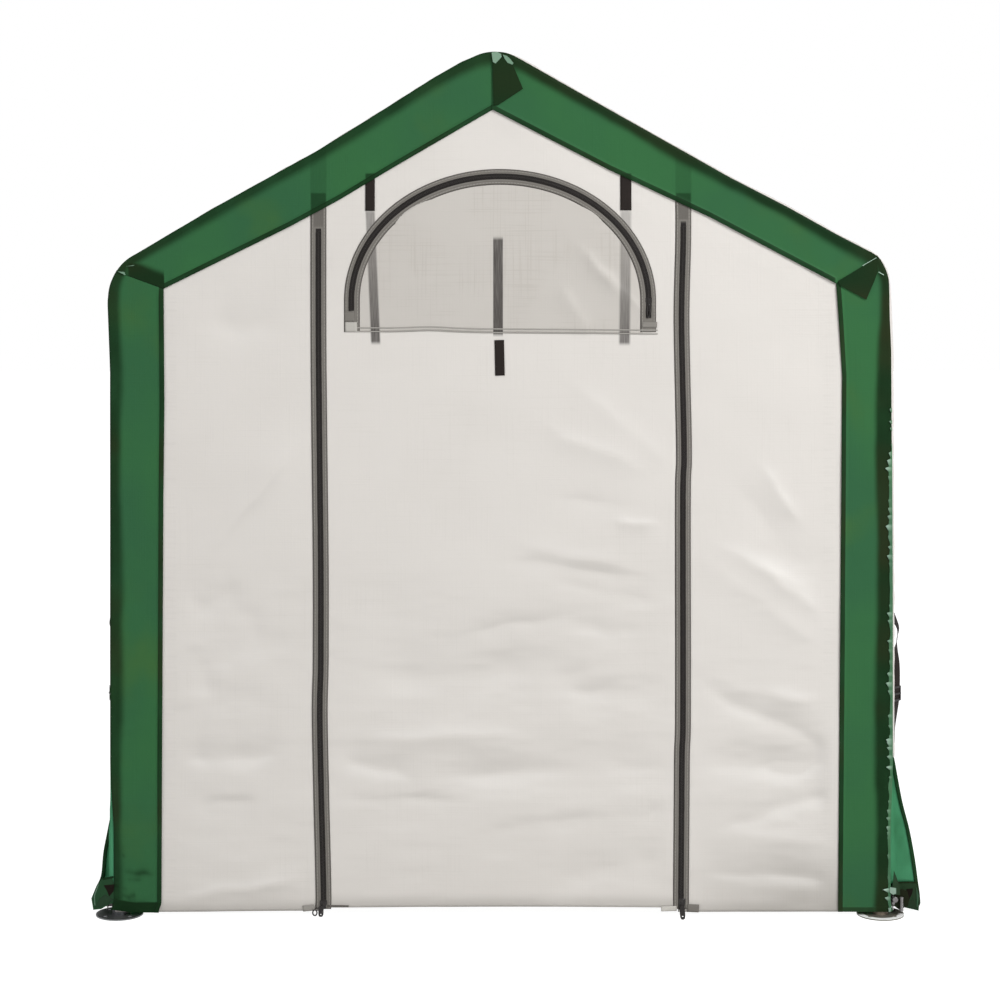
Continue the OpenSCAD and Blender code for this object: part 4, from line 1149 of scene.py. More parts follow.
leftGathers = [                             # creases across the left leg trim
    ((-0.872, 0.103), (-0.795, 0.098), 0.010, 0.006, 0.0028),
    ((-0.855, 0.0845), (-0.818, 0.0845), 0.004, 0.004, 0.0018),
    ((-0.868, 0.0454), (-0.836, 0.0478), 0.007, 0.006, 0.0032),
    ((-0.880, 0.142), (-0.858, 0.137), 0.006, 0.006, 0.0024),
    ((-0.880, 0.065), (-0.855, 0.063), 0.006, 0.006, 0.0024),
    ((-0.889, 0.0562), (-0.862, 0.0408), 0.003, 0.003, -0.0014),
    ((-0.870, 0.0300), (-0.800, 0.0330), 0.008, 0.006, 0.0020),
    ((-0.890, 0.262), (-0.800, 0.255), 0.008, 0.008, -0.0016),
    ((-0.885, 0.420), (-0.800, 0.440), 0.007, 0.007, -0.0020),
    ((-0.870, 0.470), (-0.830, 0.480), 0.005, 0.005, -0.0016),
    ((-0.885, 0.640), (-0.800, 0.662), 0.010, 0.010, -0.0016),
    ((-0.880, 0.820), (-0.810, 0.850), 0.012, 0.012, -0.0013),
]


def trimRelief(x, z, end):
    relief = trim["rough"] * layeredNoise(x * 9, z * 5, 53 if end == frontEnd else 59)
    if end == frontEnd:
        relief = relief + foldRelief(x, z, leftGathers) * trim["gather"]
    deepest, more = trim["deepest"]
    return np.maximum(relief, -deepest - more * smoothStep(skirtSeam, skirtSeam - 0.05, z))


def trimPoints(x, z, lift, end):
    x, z = np.broadcast_arrays(x, z)
    return np.stack([x, end * (panelY + lift + trimRelief(x, z, end)), z], axis=-1)


ribShade = {                                # where the shade of the tube is half gone, and how dark it is
    "left": 0.026,
    "right": 0.021,
    "widens": 0.022,
    "widensOver": (1.46, 1.20),
    "soft": (0.013, -0.010),
    "roof": (0.041, 0.013),
    "wobble": 0.13,
    "dark": (0.78, 0.95),
}


def tubeShade(x, z, end):                   # painted shade where the rib lies behind the trim
    s = ribShade
    right = x > 0
    wall = np.where(right, wallLine(z, rightSide, 0, end), wallLine(z, leftSide, 0, end))
    wobble = 1 + s["wobble"] * layeredNoise(x * 5, z * 4, 91)
    reach = np.where(right, s["right"] + s["widens"] * smoothStep(*s["widensOver"], z), s["left"])
    leg = smoothStep(reach + s["soft"][0], reach + s["soft"][1], (wall - np.abs(x)) / wobble)
    roof = smoothStep(*s["roof"], (roofLine(x, 0, end) - z) * math.cos(slope) / wobble)
    return np.where(right, s["dark"][1], s["dark"][0]) * np.maximum(leg, roof)


def footDraw(z, side):
    return trim["footShows"][side] * smoothStep(0.36, 0.18, z) * smoothStep(0.005, 0.040, z)


def legTrimPatches(end, side):
    bindCount, wide = 4, 18
    edge = np.array(legInner[side])

    def across(u, z):                       # distance out, from the bound inner edge to the outer edge
        shows = trim["wallShows"][side] * (0.6 + 0.4 * smoothStep(1.47, 1.36, z))
        shows = shows + footDraw(z, side)
        inner = np.interp(z, edge[:, 0], edge[:, 1]) + trim["hemIn"][side] * smoothStep(0.034, 0.010, z)
        return inner + u * (wallLine(z, side, 0, end) - shows - inner)

    bindShare = trim["binding"] / (wallOut - edge[0, 1])
    u = np.concatenate([np.linspace(0, bindShare, bindCount), np.linspace(bindShare + 0.003, 1, wide)])
    top = np.full(u.shape, trimMitre[side][0][1])
    for step in range(60):                  # where each thread meets the mitre
        top = 0.5 * (top + mitreLine(across(u, top), side))
    top = top + trim["lap"]
    foot = 0.0115 + 0 * u if side == rightSide else 0.0095 + 0.006 * smoothStep(0.5, 1.0, u)
    z = foot + np.linspace(0, 1, 250)[:, None] ** 1.5 * (top - foot)
    x = side * across(u[None, :], z)
    bound = (np.arange(len(u)) < bindCount)[None, :]
    lift = trim["lift"] + np.where(bound, trim["bindingLift"], 0.0) * smoothStep(top[0], top[0] - 0.03, z)
    hemHigh = trim["hemHigh"][side]
    hem = smoothStep(foot + hemHigh, foot + hemHigh - 0.004, z)
    points = trimPoints(x, z, lift + 0.0007 * hem, end)
    tone = np.where(bound, 0.8, tubeShade(x, z, end))
    tone = np.maximum(tone, np.where(side == leftSide, 1.0, 0.6) * hem)
    if side == leftSide and end == frontEnd:                # painted shade in the creases over the left foot, and darker near the outer edge at the foot
        darkened = np.clip(-foldRelief(x, z, leftGathers) / 0.003, 0, 1) * smoothStep(0.20, 0.15, z)
        darkAtFoot = smoothStep(0.30, 0.04, z) * smoothStep(0.845, 0.880, np.abs(x))
        darkAtFoot = darkAtFoot * np.clip(0.55 + 0.6 * layeredNoise(x * 50, z * 38, 97), 0, 1.15)
        tone = np.maximum(tone, np.maximum(0.75 * darkened, darkAtFoot))
    return [gridPatch(points, np.stack([x, z, z * 0], axis=-1), tone=tone)]


def roofTrimPatches(end, side):
    peakX = trimPeak[0]
    cornerX = trimMitre[side][0][0]

    def upper(x):                           # the outline, less what is left bare
        shows = trim["roofShows"][side] * smoothStep(0.02, 0.07, np.abs(x - peakX))
        return roofLine(x, 0, end) - shows / math.cos(slope)

    dense = np.linspace(cornerX, wallOut + 0.02, 800)
    meet = dense[np.argmax(upper(side * dense) < mitreLine(dense, side) + 0.0005)]
    xs = np.concatenate([peakX + side * np.array([-trim["lap"], 0.0003, 0.006]),
                         np.linspace(peakX + side * 0.014, side * (cornerX - 0.003), 92),
                         side * np.linspace(cornerX, meet, 18)])
    along = np.abs(xs) < cornerX
    low = np.where(along, trimEdge(xs), mitreLine(xs, side))
    high = np.maximum(upper(xs), low + 0.0002)
    bindTop = np.where(along, low + trim["binding"] / math.cos(slope), low + 0.1 * (high - low))
    z = np.vstack([low + (bindTop - low) * i / 3 for i in range(4)]
                  + [bindTop + 0.0003 + (high - bindTop - 0.0003) * i / 15 for i in range(16)])
    x = np.broadcast_to(xs, z.shape)
    bound = (np.arange(20) < 4)[:, None] & along[None, :]
    lift = trim["roofLift"] + np.where(bound, trim["bindingLift"], 0.0)
    if side == rightSide:                   # laps over the left one at the ridge
        lift = lift + trim["ridgeLap"]
    points = trimPoints(x, z, lift, end)
    tone = np.where(bound, 0.8, tubeShade(x, z, end))
    above, out = z - mitreLine(xs, side), np.abs(x)
    seam = 0.6 * smoothStep(0.005, 0.0, above) * (~along)[None, :]
    ridge = 0.7 * smoothStep(0.004, 0.0, np.abs(x - peakX))
    tone = np.maximum(tone, np.maximum(seam, ridge))
    if side == leftSide:                    # painted shade where the doubled cloth over the left eave lets less light through
        doubled = smoothStep(0.050, 0.024, above) * smoothStep(0.862, 0.846, out) * (out >= cornerX)
        tone = np.maximum(tone, 1.05 * doubled)
    return [gridPatch(points, np.stack([x, z, z * 0], axis=-1), tone=tone)]


def foldPatch(corners, y, tone, mark=0.0):  # a sewn-over fold as one flat facet
    flat = np.array(corners, float)
    count = len(flat)
    points = np.stack([flat[:, 0], np.full(count, y), flat[:, 1]], axis=1)
    cloth = np.column_stack([flat, np.zeros(count)])
    return {"points": points, "faces": [list(range(count))], "cloth": cloth,
            "tone": np.full(count, tone), "mark": np.full(count, mark), "flat": True}


trimFolds = [                               # corners of the doubled corners, tone, mark, step in front; tone over 1 paints the shade of the doubled cloth, mark paints pale highlights
    ([(-0.0165, 1.9591), (-0.0103, 1.9551), (0.0037, 1.9700), (0.0115, 1.9648), (0.0177, 1.9567),
      (0.0298, 1.9510), (0.0527, 1.8972), (-0.0041, 1.8596), (-0.0147, 1.8587)], 1.05, 0.0, 1),
    ([(-0.0193, 1.9806), (-0.0069, 1.9817), (0.0028, 1.9769), (0.0037, 1.9700), (-0.0103, 1.9551),
      (-0.0165, 1.9591)], 0.0, 0.32, 2),
    ([(0.0062, 1.9753), (0.0151, 1.9728), (0.0211, 1.9682), (0.0310, 1.9560), (0.0282, 1.9524),
      (0.0177, 1.9567), (0.0115, 1.9648)], 0.0, 0.26, 2),
    ([(-0.8560, 1.4905), (-0.8368, 1.4936), (-0.8400, 1.4915)], 0.0, 0.3, 2),
    ([(-0.8758, 1.4790), (-0.8574, 1.4700), (-0.8600, 1.4775)], 0.0, 0.3, 2),
    ([(0.7738, 1.4569), (0.8610, 1.5085), (0.8657, 1.4799), (0.8574, 1.4569), (0.8391, 1.4143),
      (0.7786, 1.4466)], 1.05, 0.0, 1),
    ([(0.8299, 1.4925), (0.8620, 1.5110), (0.8620, 1.5098), (0.8310, 1.4917)], 0.0, 0.7, 2),
    ([(0.8670, 1.4785), (0.8800, 1.4712), (0.8785, 1.4702), (0.8670, 1.4768)], 0.0, 0.7, 2),
]


ruffle = {
    "top": 1.235,
    "foot": 0.014,
    "band": 0.0085,
    "pitch": 0.025,
    "tuck": 0.0065,
    "past": 0.0004,                         # past the trim's own edge
    "front": 0.0016,
    "draws": ((0.73, 4.1, 17), (1.31, 2.7, 23), (0.57, 9.3, 29)),      # size, fall and rise of each tuck
}


def cornerRuffle():                         # gathered edge of the right front corner, its tucks turn in and carry a painted highlight
    z = np.arange(ruffle["foot"], ruffle["top"], 0.0015)
    edge = wallLine(z, rightSide, 0, frontEnd) - trim["wallShows"][rightSide]
    edge = edge + ruffle["past"] - footDraw(z, rightSide)
    body = ruffle["band"] * smoothStep(1.09, 1.02, z) * (0.85 + 0.25 * valueNoise(z * 40, 0, 3))
    tuck = np.zeros(z.shape)
    at, step = ruffle["top"], 0
    while at > ruffle["foot"] + 0.03:
        step += 1
        rough = [float(valueNoise(step * a, b, c)) for a, b, c in ruffle["draws"]]
        below, fall = at - z, 0.013 + 0.007 * rough[1]
        rise = fall * (0.22 + 0.15 * rough[2])
        size = ruffle["tuck"] * max(0.6 + 0.9 * rough[0], 0) * (1 + 0.8 * smoothStep(0.30, 0.10, at))
        shape = size * np.minimum(below / rise, (fall - below) / (fall - rise))
        tuck = np.maximum(tuck, shape)
        at -= ruffle["pitch"] * (0.8 + 0.6 * rough[1] * rough[2] + 0.5 * rough[2])
    wide = body + tuck
    u = np.linspace(0, 1, 6)[None, :]
    x = edge[:, None] - wide[:, None] * (1 - u)
    lit = (tuck / ruffle["tuck"])[:, None] * (1 - u) ** 0.7
    y = -(panelY + trim["lift"] + ruffle["front"] + ruffle["front"] * lit)
    mark = 0.07 * (body / ruffle["band"])[:, None] + 0.45 * lit
    keep = np.repeat(((wide[:-1] > 0.001) & (wide[1:] > 0.001))[:, None], 5, axis=1)
    points = np.stack([x, y, np.broadcast_to(z[:, None], x.shape)], axis=-1)
    return [gridPatch(points, np.stack([x, points[..., 2], x * 0], axis=-1), mark=mark, keep=keep)]


def makeTrims():
    green = (greenFinish, "trim_green")
    for end, name in ((frontEnd, "front"), (rearEnd, "rear")):
        legs = legTrimPatches(end, leftSide) + legTrimPatches(end, rightSide)
        if end == frontEnd:
            legs += cornerRuffle()
        piece = makePiece(name + "_leg_trim_sheet", legs, *green, [name + "_leg_trims"], trim["thick"])
        declareSheet(legs, trim["legFlat"], [name + "_legs"])
        roofs = roofTrimPatches(end, leftSide) + roofTrimPatches(end, rightSide)
        for corners, tone, mark, step in trimFolds:
            front = trim["roofLift"] + trim["foldFront"][0] + trim["foldFront"][1] * step
            roofs.append(foldPatch(corners, end * (panelY + front), tone, mark))
        piece = makePiece(name + "_roof_trim_sheet", roofs, *green, [name + "_roof_trims"], trim["thick"])
        declareSheet(roofs, trim["roofFlat"], [name + "_rafters"])
    print("trims made")


# Zips: tape, two rows of teeth, slider with its pull

zipper = {
    "tape": 0.036,
    "thick": 0.0007,
    "tapeLift": 0.0009,
    "endLift": 0.0016,
    "toothLift": 0.0013,
    "pitch": 0.0034,
    "toothLong": 0.0066,
    "toothRoot": 0.0013,
    "toothWide": 0.0024,
    "toothHigh": 0.0017,
    "sliderBack": (0.0008, 0.0042),
    "bridge": (0.0040, 0.0066),
    "pullFront": 0.0062,
    "wire": 0.0017,
    "tag": 0.0009,
    "coilTop": {leftSide: 1.5716, rightSide: 1.5876},
}
tapeEnd = np.linspace(0, 0.03, 8)           # along the turned-out ends of a tape
cast = {"bevel": 0.0004, "smooth": False, "weld": 0.00001}


def ribbonPatch(path, along, half, lift, end, columns=9, tone=0.0, mark=0.0):
    step = np.gradient(path, axis=0)
    step /= np.linalg.norm(step, axis=1)[:, None]
    side = np.stack([step[:, 1], -step[:, 0]], axis=1)
    inner, outer = half if isinstance(half, tuple) else (half, half)
    u = np.linspace(-1, 1, columns)
    off = np.where(u < 0, u * inner, u * outer)
    x = path[:, None, 0] + side[:, None, 0] * off[None, :]
    z = path[:, None, 1] + side[:, None, 1] * off[None, :]
    across = u * (inner + outer) / 2
    cloth = np.stack([across + 0 * x, along[:, None] + 0 * x, x * 0], axis=-1)
    return gridPatch(endPoint(x, z, lift, end), cloth, tone=tone, mark=mark)


def toothPatches(path, along, lift, end):
    count = int(along[-1] / zipper["pitch"])
    at = np.linspace(0, along[-1], 2 * count)
    x, z = np.interp(at, along, path[:, 0]), np.interp(at, along, path[:, 1])
    step = np.stack([np.gradient(x), np.gradient(z)], axis=1)
    step /= np.linalg.norm(step, axis=1)[:, None]
    patches = []
    out = np.array([0.0, end, 0.0])
    root = endPoint(x, z, lift, end)
    for i in range(2 * count):
        hand = 1 if i % 2 else -1
        run = np.array([step[i, 0], 0.0, step[i, 1]])
        side = hand * np.array([step[i, 1], 0.0, -step[i, 0]])
        near, far = -zipper["toothRoot"] * side, zipper["toothLong"] * side
        wide = run * zipper["toothWide"] / 2
        high = out * zipper["toothHigh"]
        base = [near - wide, near + wide, far + wide, far - wide]
        crown = [0.8 * near - 0.7 * wide + high, 0.8 * near + 0.7 * wide + high,
                 0.86 * far + 0.7 * wide + 0.8 * high, 0.86 * far - 0.7 * wide + 0.8 * high]
        patches.append(boxPatch([root[i] + p for p in base + crown]))
    return patches


def sliderPatches(x, z, end, tall=1.0):     # shield-shaped slider and its bridge, hanging down
    def slab(outline, low, high, crown=0.82):
        outline = np.array(outline)
        middle = outline.mean(axis=0)
        rings = []
        for level, size in ((low, 1.0), (low + 0.6 * (high - low), 1.0), (high, crown)):
            ring = middle + (outline - middle) * size
            y = np.full(len(ring), end * (panelY + level))
            rings.append(np.stack([x + ring[:, 0], y, z + tall * ring[:, 1]], axis=1))
        n = len(outline)
        faces = [[i * n + j, i * n + (j + 1) % n, (i + 1) * n + (j + 1) % n, (i + 1) * n + j]
                 for i in range(2) for j in range(n)]
        faces += [list(range(n))[::-1], list(range(2 * n, 3 * n))]
        points = np.concatenate(rings)
        return {"points": points, "faces": faces, "cloth": points,
                "tone": np.zeros(len(points)), "mark": np.zeros(len(points))}

    shield = [(-0.0080, 0.012), (-0.003, 0.013), (0.003, 0.013), (0.0080, 0.012), (0.0080, 0.002),
              (0.005, -0.011), (-0.005, -0.011), (-0.0080, 0.002)]
    bridge = [(-0.002, 0.009), (0.002, 0.009), (0.002, -0.007), (-0.002, -0.007)]
    return [slab(shield, *zipper["sliderBack"]), slab(bridge, *zipper["bridge"], 0.7)]


def pullPatch(end, x, top, low, half, forward=0.0, hole=0.0):       # a wire loop, or a flat tag with a hole
    a = np.linspace(0, 2 * math.pi, 33)[:, None]
    length = math.hypot(top - low, forward)
    if hole:
        share, level = np.array([0, 1, 1, 0, 0]), np.array([1, 1, -1, -1, 1])
        holeDown = 0.78 * length - hole * np.cos(a)
        side = half * np.sign(np.sin(a)) * np.abs(np.sin(a)) ** 0.6
        run = length / 2 * (1 - np.sign(np.cos(a)) * np.abs(np.cos(a)) ** 0.6)
        across = hole * np.sin(a) + share * (side - hole * np.sin(a))
        down = holeDown + share * (run - holeDown)
        out = zipper["tag"] * level
    else:
        b, wire = np.linspace(0, 2 * math.pi, 9), zipper["wire"]
        across = (half - wire + wire * np.cos(b)) * np.sin(a)
        down = length / 2 - (length / 2 - wire + wire * np.cos(b)) * np.cos(a)
        out = wire * np.sin(b)
    upright, lean = (top - low) / length, forward / length
    y = end * (panelY + zipper["pullFront"] + down * lean + out * upright)
    return gridPatch(np.stack([x + across, y, top - down * upright + out * lean], axis=-1))


zipPath = {                                 # the zips wander a little on their way down
    leftSide: [(-0.405, 0.0175), (-0.405, 0.085), (-0.413, 0.44), (-0.411, 0.59), (-0.411, 0.84),
               (-0.416, 1.30), (-0.416, 1.6585)],
    rightSide: [(0.415, 0.0175), (0.415, 0.085), (0.417, 0.36), (0.4195, 0.47), (0.4195, 0.955),
                (0.422, 1.07), (0.416, 1.36), (0.420, 1.55), (0.420, 1.6585)],
}
zipEnds = {                                 # at the hem: sliders, pulls and turned-out tape ends
    leftSide: {
        "slider": (-0.4045, 0.0285, 0.75),
        "pulls": [(-0.4240, 0.0185, 0.0022, 0.0065), (-0.4098, 0.0265, 0.0025, 0.0060, 0.006, 0.0012)],
        "ends": [((-0.425, 0.0210), (-0.452, 0.0185), 0.0068, 0.30, 0.25),
                 ((-0.395, 0.0245), (-0.347, 0.0238), 0.0022, 0.6, 0)],
    },
    rightSide: {
        "slider": (0.4168, 0.0290, 1.0),
        "pulls": [(0.4166, 0.0264, 0.0030, 0.0062, 0.0283, 0.0018)],
        "ends": [((0.405, 0.0190), (0.369, 0.0180), 0.0058, 0.22, 0.75),
                 ((0.429, 0.0200), (0.456, 0.0190), 0.0088, 0.25, 0)],
    },
}


def makeDoorZip(side):
    name = "left_door_zip" if side == leftSide else "right_door_zip"
    path, along = evenPath(smoothPath(zipPath[side], 12), 280)
    coilTop = zipper["coilTop"][side]
    above = smoothStep(coilTop + 0.004, coilTop + 0.012, path[:, 1])[:, None]
    u = np.abs(np.linspace(-1, 1, 9))[None, :]
    tone = above * (0.22 + 0.35 * smoothStep(0.62, 0.5, u))
    tape = [ribbonPatch(path, along, zipper["tape"] / 2, zipper["tapeLift"], frontEnd, tone=tone)]
    for start, stop, half, tone, mark in zipEnds[side]["ends"]:
        run = np.linspace(start, stop, 8)
        tape.append(ribbonPatch(run, tapeEnd, half, zipper["endLift"], frontEnd, 5, tone=tone, mark=mark))
    makePiece(name + "_tape", tape, tapeFinish, "zip_tape", [name], zipper["thick"])
    keep = path[:, 1] < coilTop
    teeth = toothPatches(path[keep], along[keep], zipper["toothLift"], frontEnd)
    makePiece(name + "_coil", teeth, coilFinish, "zip_tape", smooth=False)
    x, z, tall = zipEnds[side]["slider"]
    sliders = sliderPatches(x, z, frontEnd, tall)
    for pull in zipEnds[side]["pulls"]:
        sliders.append(pullPatch(frontEnd, *pull))
    makePiece(name + "_slider", sliders, buckleFinish, "zip_tape", **cast)


ventParts = {
    "tapeHalves": (0.0195, 0.0165),         # inside and outside of the coil
    "band": (-0.3508, 0.3611),              # from the left end to the right end
    "bandHigh": 1.3457,
    "bandFall": 0.0057,
    "bandHump": (0.0035, -0.16, 0.06),      # height, place, reach
    "bandGap": 0.0042,
    "bandLine": 0.0013,
    "bandLift": 0.0014,
    "stopLift": 0.0017,
    "stops": [((-0.3565, 1.3755), (-0.3345, 1.3755), 0.0130, 0.24, 0.0),
              ((-0.3553, 1.3515), (-0.3279, 1.3515), 0.0115, 0.22, 0.55)],
    "foot": ((0.3244, 1.3567), (0.3599, 1.3567), 0.0062, 0.22, 0.1),
    "slider": (0.3405, 1.4075),
    "pull": (1.4050, 1.3725, 0.0050),
}


def bandLine(x):                            # height of the band under the vent
    low, high = ventParts["band"]
    hump, place, reach = ventParts["bandHump"]
    fall = ventParts["bandFall"] * (x - low) / (high - low)
    return ventParts["bandHigh"] - fall + hump * np.exp(-((x - place) / reach) ** 2)


def ventArch(inset, count):                 # columns, closer towards the feet, and the arch over them
    half, rise = ventHalf - inset, ventRise - inset
    xs = half * np.sin(np.linspace(-math.pi / 2, math.pi / 2, count))
    return half, rise, xs, ventSpring + rise * np.sqrt(np.maximum(1 - (xs / half) ** 2, 0))


def makeVent(end):
    prefix = "" if end == frontEnd else "rear_"
    path, along = ventLine(vent["tape"] / 2, 300)
    ends = np.minimum(along, along[-1] - along)[:, None]
    tone = 0.24 * smoothStep(vent["stop"], vent["stop"] - 0.006, ends)
    tape = [ribbonPatch(path, along, ventParts["tapeHalves"], zipper["tapeLift"], end, tone=tone)]
    bandX = np.linspace(*ventParts["band"][::-1], 120)
    for hand in (-1, 1):                    # the band is two rows of stitching on a clear strip
        line = np.stack([bandX, bandLine(bandX) + hand * ventParts["bandGap"]], axis=1)
        tape.append(ribbonPatch(line, bandX[0] - bandX, ventParts["bandLine"], ventParts["bandLift"], end, 3,
                                tone=0.21, mark=0.35))
    for start, stop, half, tone, mark in ventParts["stops"] + [ventParts["foot"]]:
        patch = np.linspace(start, stop, 8)
        tape.append(ribbonPatch(patch, tapeEnd, half, ventParts["stopLift"], end, 5, tone=tone, mark=mark))
    makePiece(prefix + "vent_zip_tape", tape, tapeFinish, "zip_tape", [prefix + "vent_zip"], zipper["thick"])
    keep = ends[:, 0] > vent["coilFrom"]
    teeth = toothPatches(path[keep], along[keep] - along[keep][0], zipper["toothLift"], end)
    makePiece(prefix + "vent_zip_coil", teeth, coilFinish, "zip_tape", smooth=False)
    slider = sliderPatches(*ventParts["slider"], end)
    slider.append(pullPatch(end, ventParts["slider"][0], *ventParts["pull"]))
    makePiece(prefix + "vent_zip_slider", slider, buckleFinish, "zip_tape", **cast)
    half, rise, xs, head = ventArch(vent["tape"] - vent["flapLap"], 84)
    foot = bandLine(xs) - ventParts["bandGap"]
    z = foot + np.linspace(0, 1, 52)[:, None] * (head - foot)[None, :]
    x = np.broadcast_to(xs, z.shape)
    full = np.sin(math.pi * np.clip((z - foot) / (rise + vent["bulgeOver"]), 0, 1))
    bulge = vent["bulge"] * np.cos(math.pi / 2 * x / half) * full + vent["flapFront"]
    flap = [gridPatch(endPoint(x, z, bulge, end), np.stack([x, z, x * 0], axis=-1), tone=vent["flapTone"])]
    piece = makePiece(prefix + "vent_flap_sheet", flap, ventFinish, "cover_white", [prefix + "vent_flap"],
                      sheetThick)
    declareSheet(flap, (2 * half, rise + vent["flapFlat"]), [prefix + "vent_zip"])
    half, rise, xs, head = ventArch(vent["tape"] - vent["screenLap"], 60)
    z = ventBase + np.linspace(0, 1, 36)[:, None] * (head - ventBase)[None, :]
    x = np.broadcast_to(xs, z.shape)
    mesh = [gridPatch(endPoint(x, z, vent["screenBack"], end), np.stack([x, z, x * 0], axis=-1))]
    piece = makePiece(prefix + "vent_screen_sheet", mesh, screenFinish, "screen_mesh",
                      [prefix + "vent_screen"], screen["thick"])
    declareSheet(mesh, (2 * half, rise + vent["screenFlat"]), [prefix + "vent_zip"])


# Webbing straps and buckles

strap = {
    "half": 0.0115,
    "thick": 0.0014,
    "front": 0.0014,
    "behind": -0.0042,
    "doorTies": ((-0.2978, 1.6179, 0.0108), (0.2884, 1.6191, 0.0127)),    # x, low, half width
    "doorTieLow": 1.316,
    "tieUnder": 0.012,                      # sewn in under the roof trim
    "ventTie": (-0.0016, -0.0183, -0.0997, 0.02, 0.0109),      # x, top and low from the vent, drift, half
    "ventBack": (-0.0045, 0.2155, -0.007),
}


def hangingPatch(x, top, low, lift, end, drift=0.0, half=strap["half"]):
    z = np.linspace(top, low, 24)
    path = np.stack([x + drift * (top - z), z], axis=1)
    return ribbonPatch(path, top - z, half, lift, end, 7)


def makeEndStraps():
    ties = []
    for x, low, half in strap["doorTies"]:
        top = float(trimEdge(x)) + strap["tieUnder"]
        ties.append(hangingPatch(x, top, low, strap["front"], frontEnd, 0.0, half))
        ties.append(hangingPatch(x, top, strap["doorTieLow"], strap["behind"], frontEnd))
    makePiece("door_tie_webbing", ties, webFinish, "webbing", ["door_tie_straps"], strap["thick"])
    vents = []
    x, top, low, drift, half = strap["ventTie"]
    backX, backTop, backLow = strap["ventBack"]
    for end in (frontEnd, rearEnd):
        vents.append(hangingPatch(x, ventBase + top, ventBase + low, strap["front"], end, drift, half))
        vents.append(hangingPatch(backX, ventBase + backTop, ventBase + backLow, strap["behind"], end))
    makePiece("vent_tie_webbing", vents, webFinish, "webbing", ["vent_straps"], strap["thick"])


sideStrap = {                               # stations: height, distance off the wall, half width shown
    "y": 1.175,
    "buckle": 0.503,
    rightSide: [(0.700, 0.0010, 0.001), (0.673, 0.0070, 0.0055), (0.652, 0.0142, 0.0038),
                (0.627, 0.0110, 0.002), (0.6035, 0.0085, 0.0058), (0.569, 0.0098, 0.0088),
                (0.523, 0.0102, 0.0088), (0.483, 0.0092, 0.0077), (0.453, 0.0070, 0.0058),
                (0.418, 0.0045, 0.0036), (0.3835, 0.0040, 0.0032), (0.370, 0.0012, 0.001)],
    leftSide: [(0.7007, 0.0008, 0.0005), (0.6915, 0.0025, 0.002), (0.665, 0.0055, 0.0045),
               (0.641, 0.0028, 0.002), (0.5805, 0.0022, 0.0015), (0.534, 0.0028, 0.002),
               (0.503, 0.0045, 0.0035), (0.478, 0.0018, 0.001), (0.3835, 0.0010, 0.0008)],
}


def makeSideStraps(side):
    name = "right" if side == rightSide else "left"
    stations = np.array(sideStrap[side])
    path, along = evenPath(smoothPath(stations, 8), 72)
    wall = float(wallLine(0.6, side, 0.0014, frontEnd))
    webs, buckles = [], []
    for end in (frontEnd, rearEnd):
        turn = np.arcsin(np.clip(path[:, 2] / strap["half"], 0, 0.95))
        u = np.linspace(-1, 1, 7)[None, :] * strap["half"]
        x = wall + path[:, None, 1] + u * np.sin(turn)[:, None]
        y = end * sideStrap["y"] - end * u * np.cos(turn)[:, None]
        points = np.stack([side * x, y, np.broadcast_to(path[:, None, 0], x.shape)], axis=-1)
        cloth = np.stack([u + 0 * x, along[:, None] + 0 * x, x * 0], axis=-1)
        webs.append(gridPatch(points, cloth))
        at = np.argmin(np.abs(path[:, 0] - sideStrap["buckle"]))
        buckles += bucklePatches(side, end, wall + path[at, 1], turn[at])
    makePiece(name + "_side_webbing", webs, webFinish, "webbing", [name + "_side_straps"], strap["thick"])
    makePiece(name + "_ladder_buckles", buckles, buckleFinish, "buckle_plastic", [name + "_side_buckles"],
              bevel=buckle["bevel"], smooth=False)


def bucklePatches(side, end, x, turn):      # two rails and three bars, turned with the webbing
    y, z = end * sideStrap["y"], sideStrap["buckle"]

    def bar(u0, u1, z0, z1, w0, w1):
        low = [(side * (x + u * math.sin(turn) + w * math.cos(turn)),
                y - end * u * math.cos(turn) + end * w * math.sin(turn), z0)
               for u, w in ((u0, w0), (u1, w0), (u1, w1), (u0, w1))]
        high = [(a, b, z1) for a, b, c in low]
        return boxPatch(low + high)

    wide, tall, deep = buckle["wide"], buckle["tall"], buckle["deep"]
    rail, half, back = buckle["rail"], buckle["barHalf"], buckle["barBack"]
    parts = [bar(s * wide - rail, s * wide + rail, z - tall, z + tall, -deep, deep) for s in (-1, 1)]
    for level, front in ((-tall + buckle["barIn"], 0.0), (0.0, buckle["barStep"]),
                         (tall - buckle["barIn"], 0.0)):
        parts.append(bar(-wide, wide, z + level - half, z + level + half, back + front, deep + front))
    return parts


# Fasteners on the frame

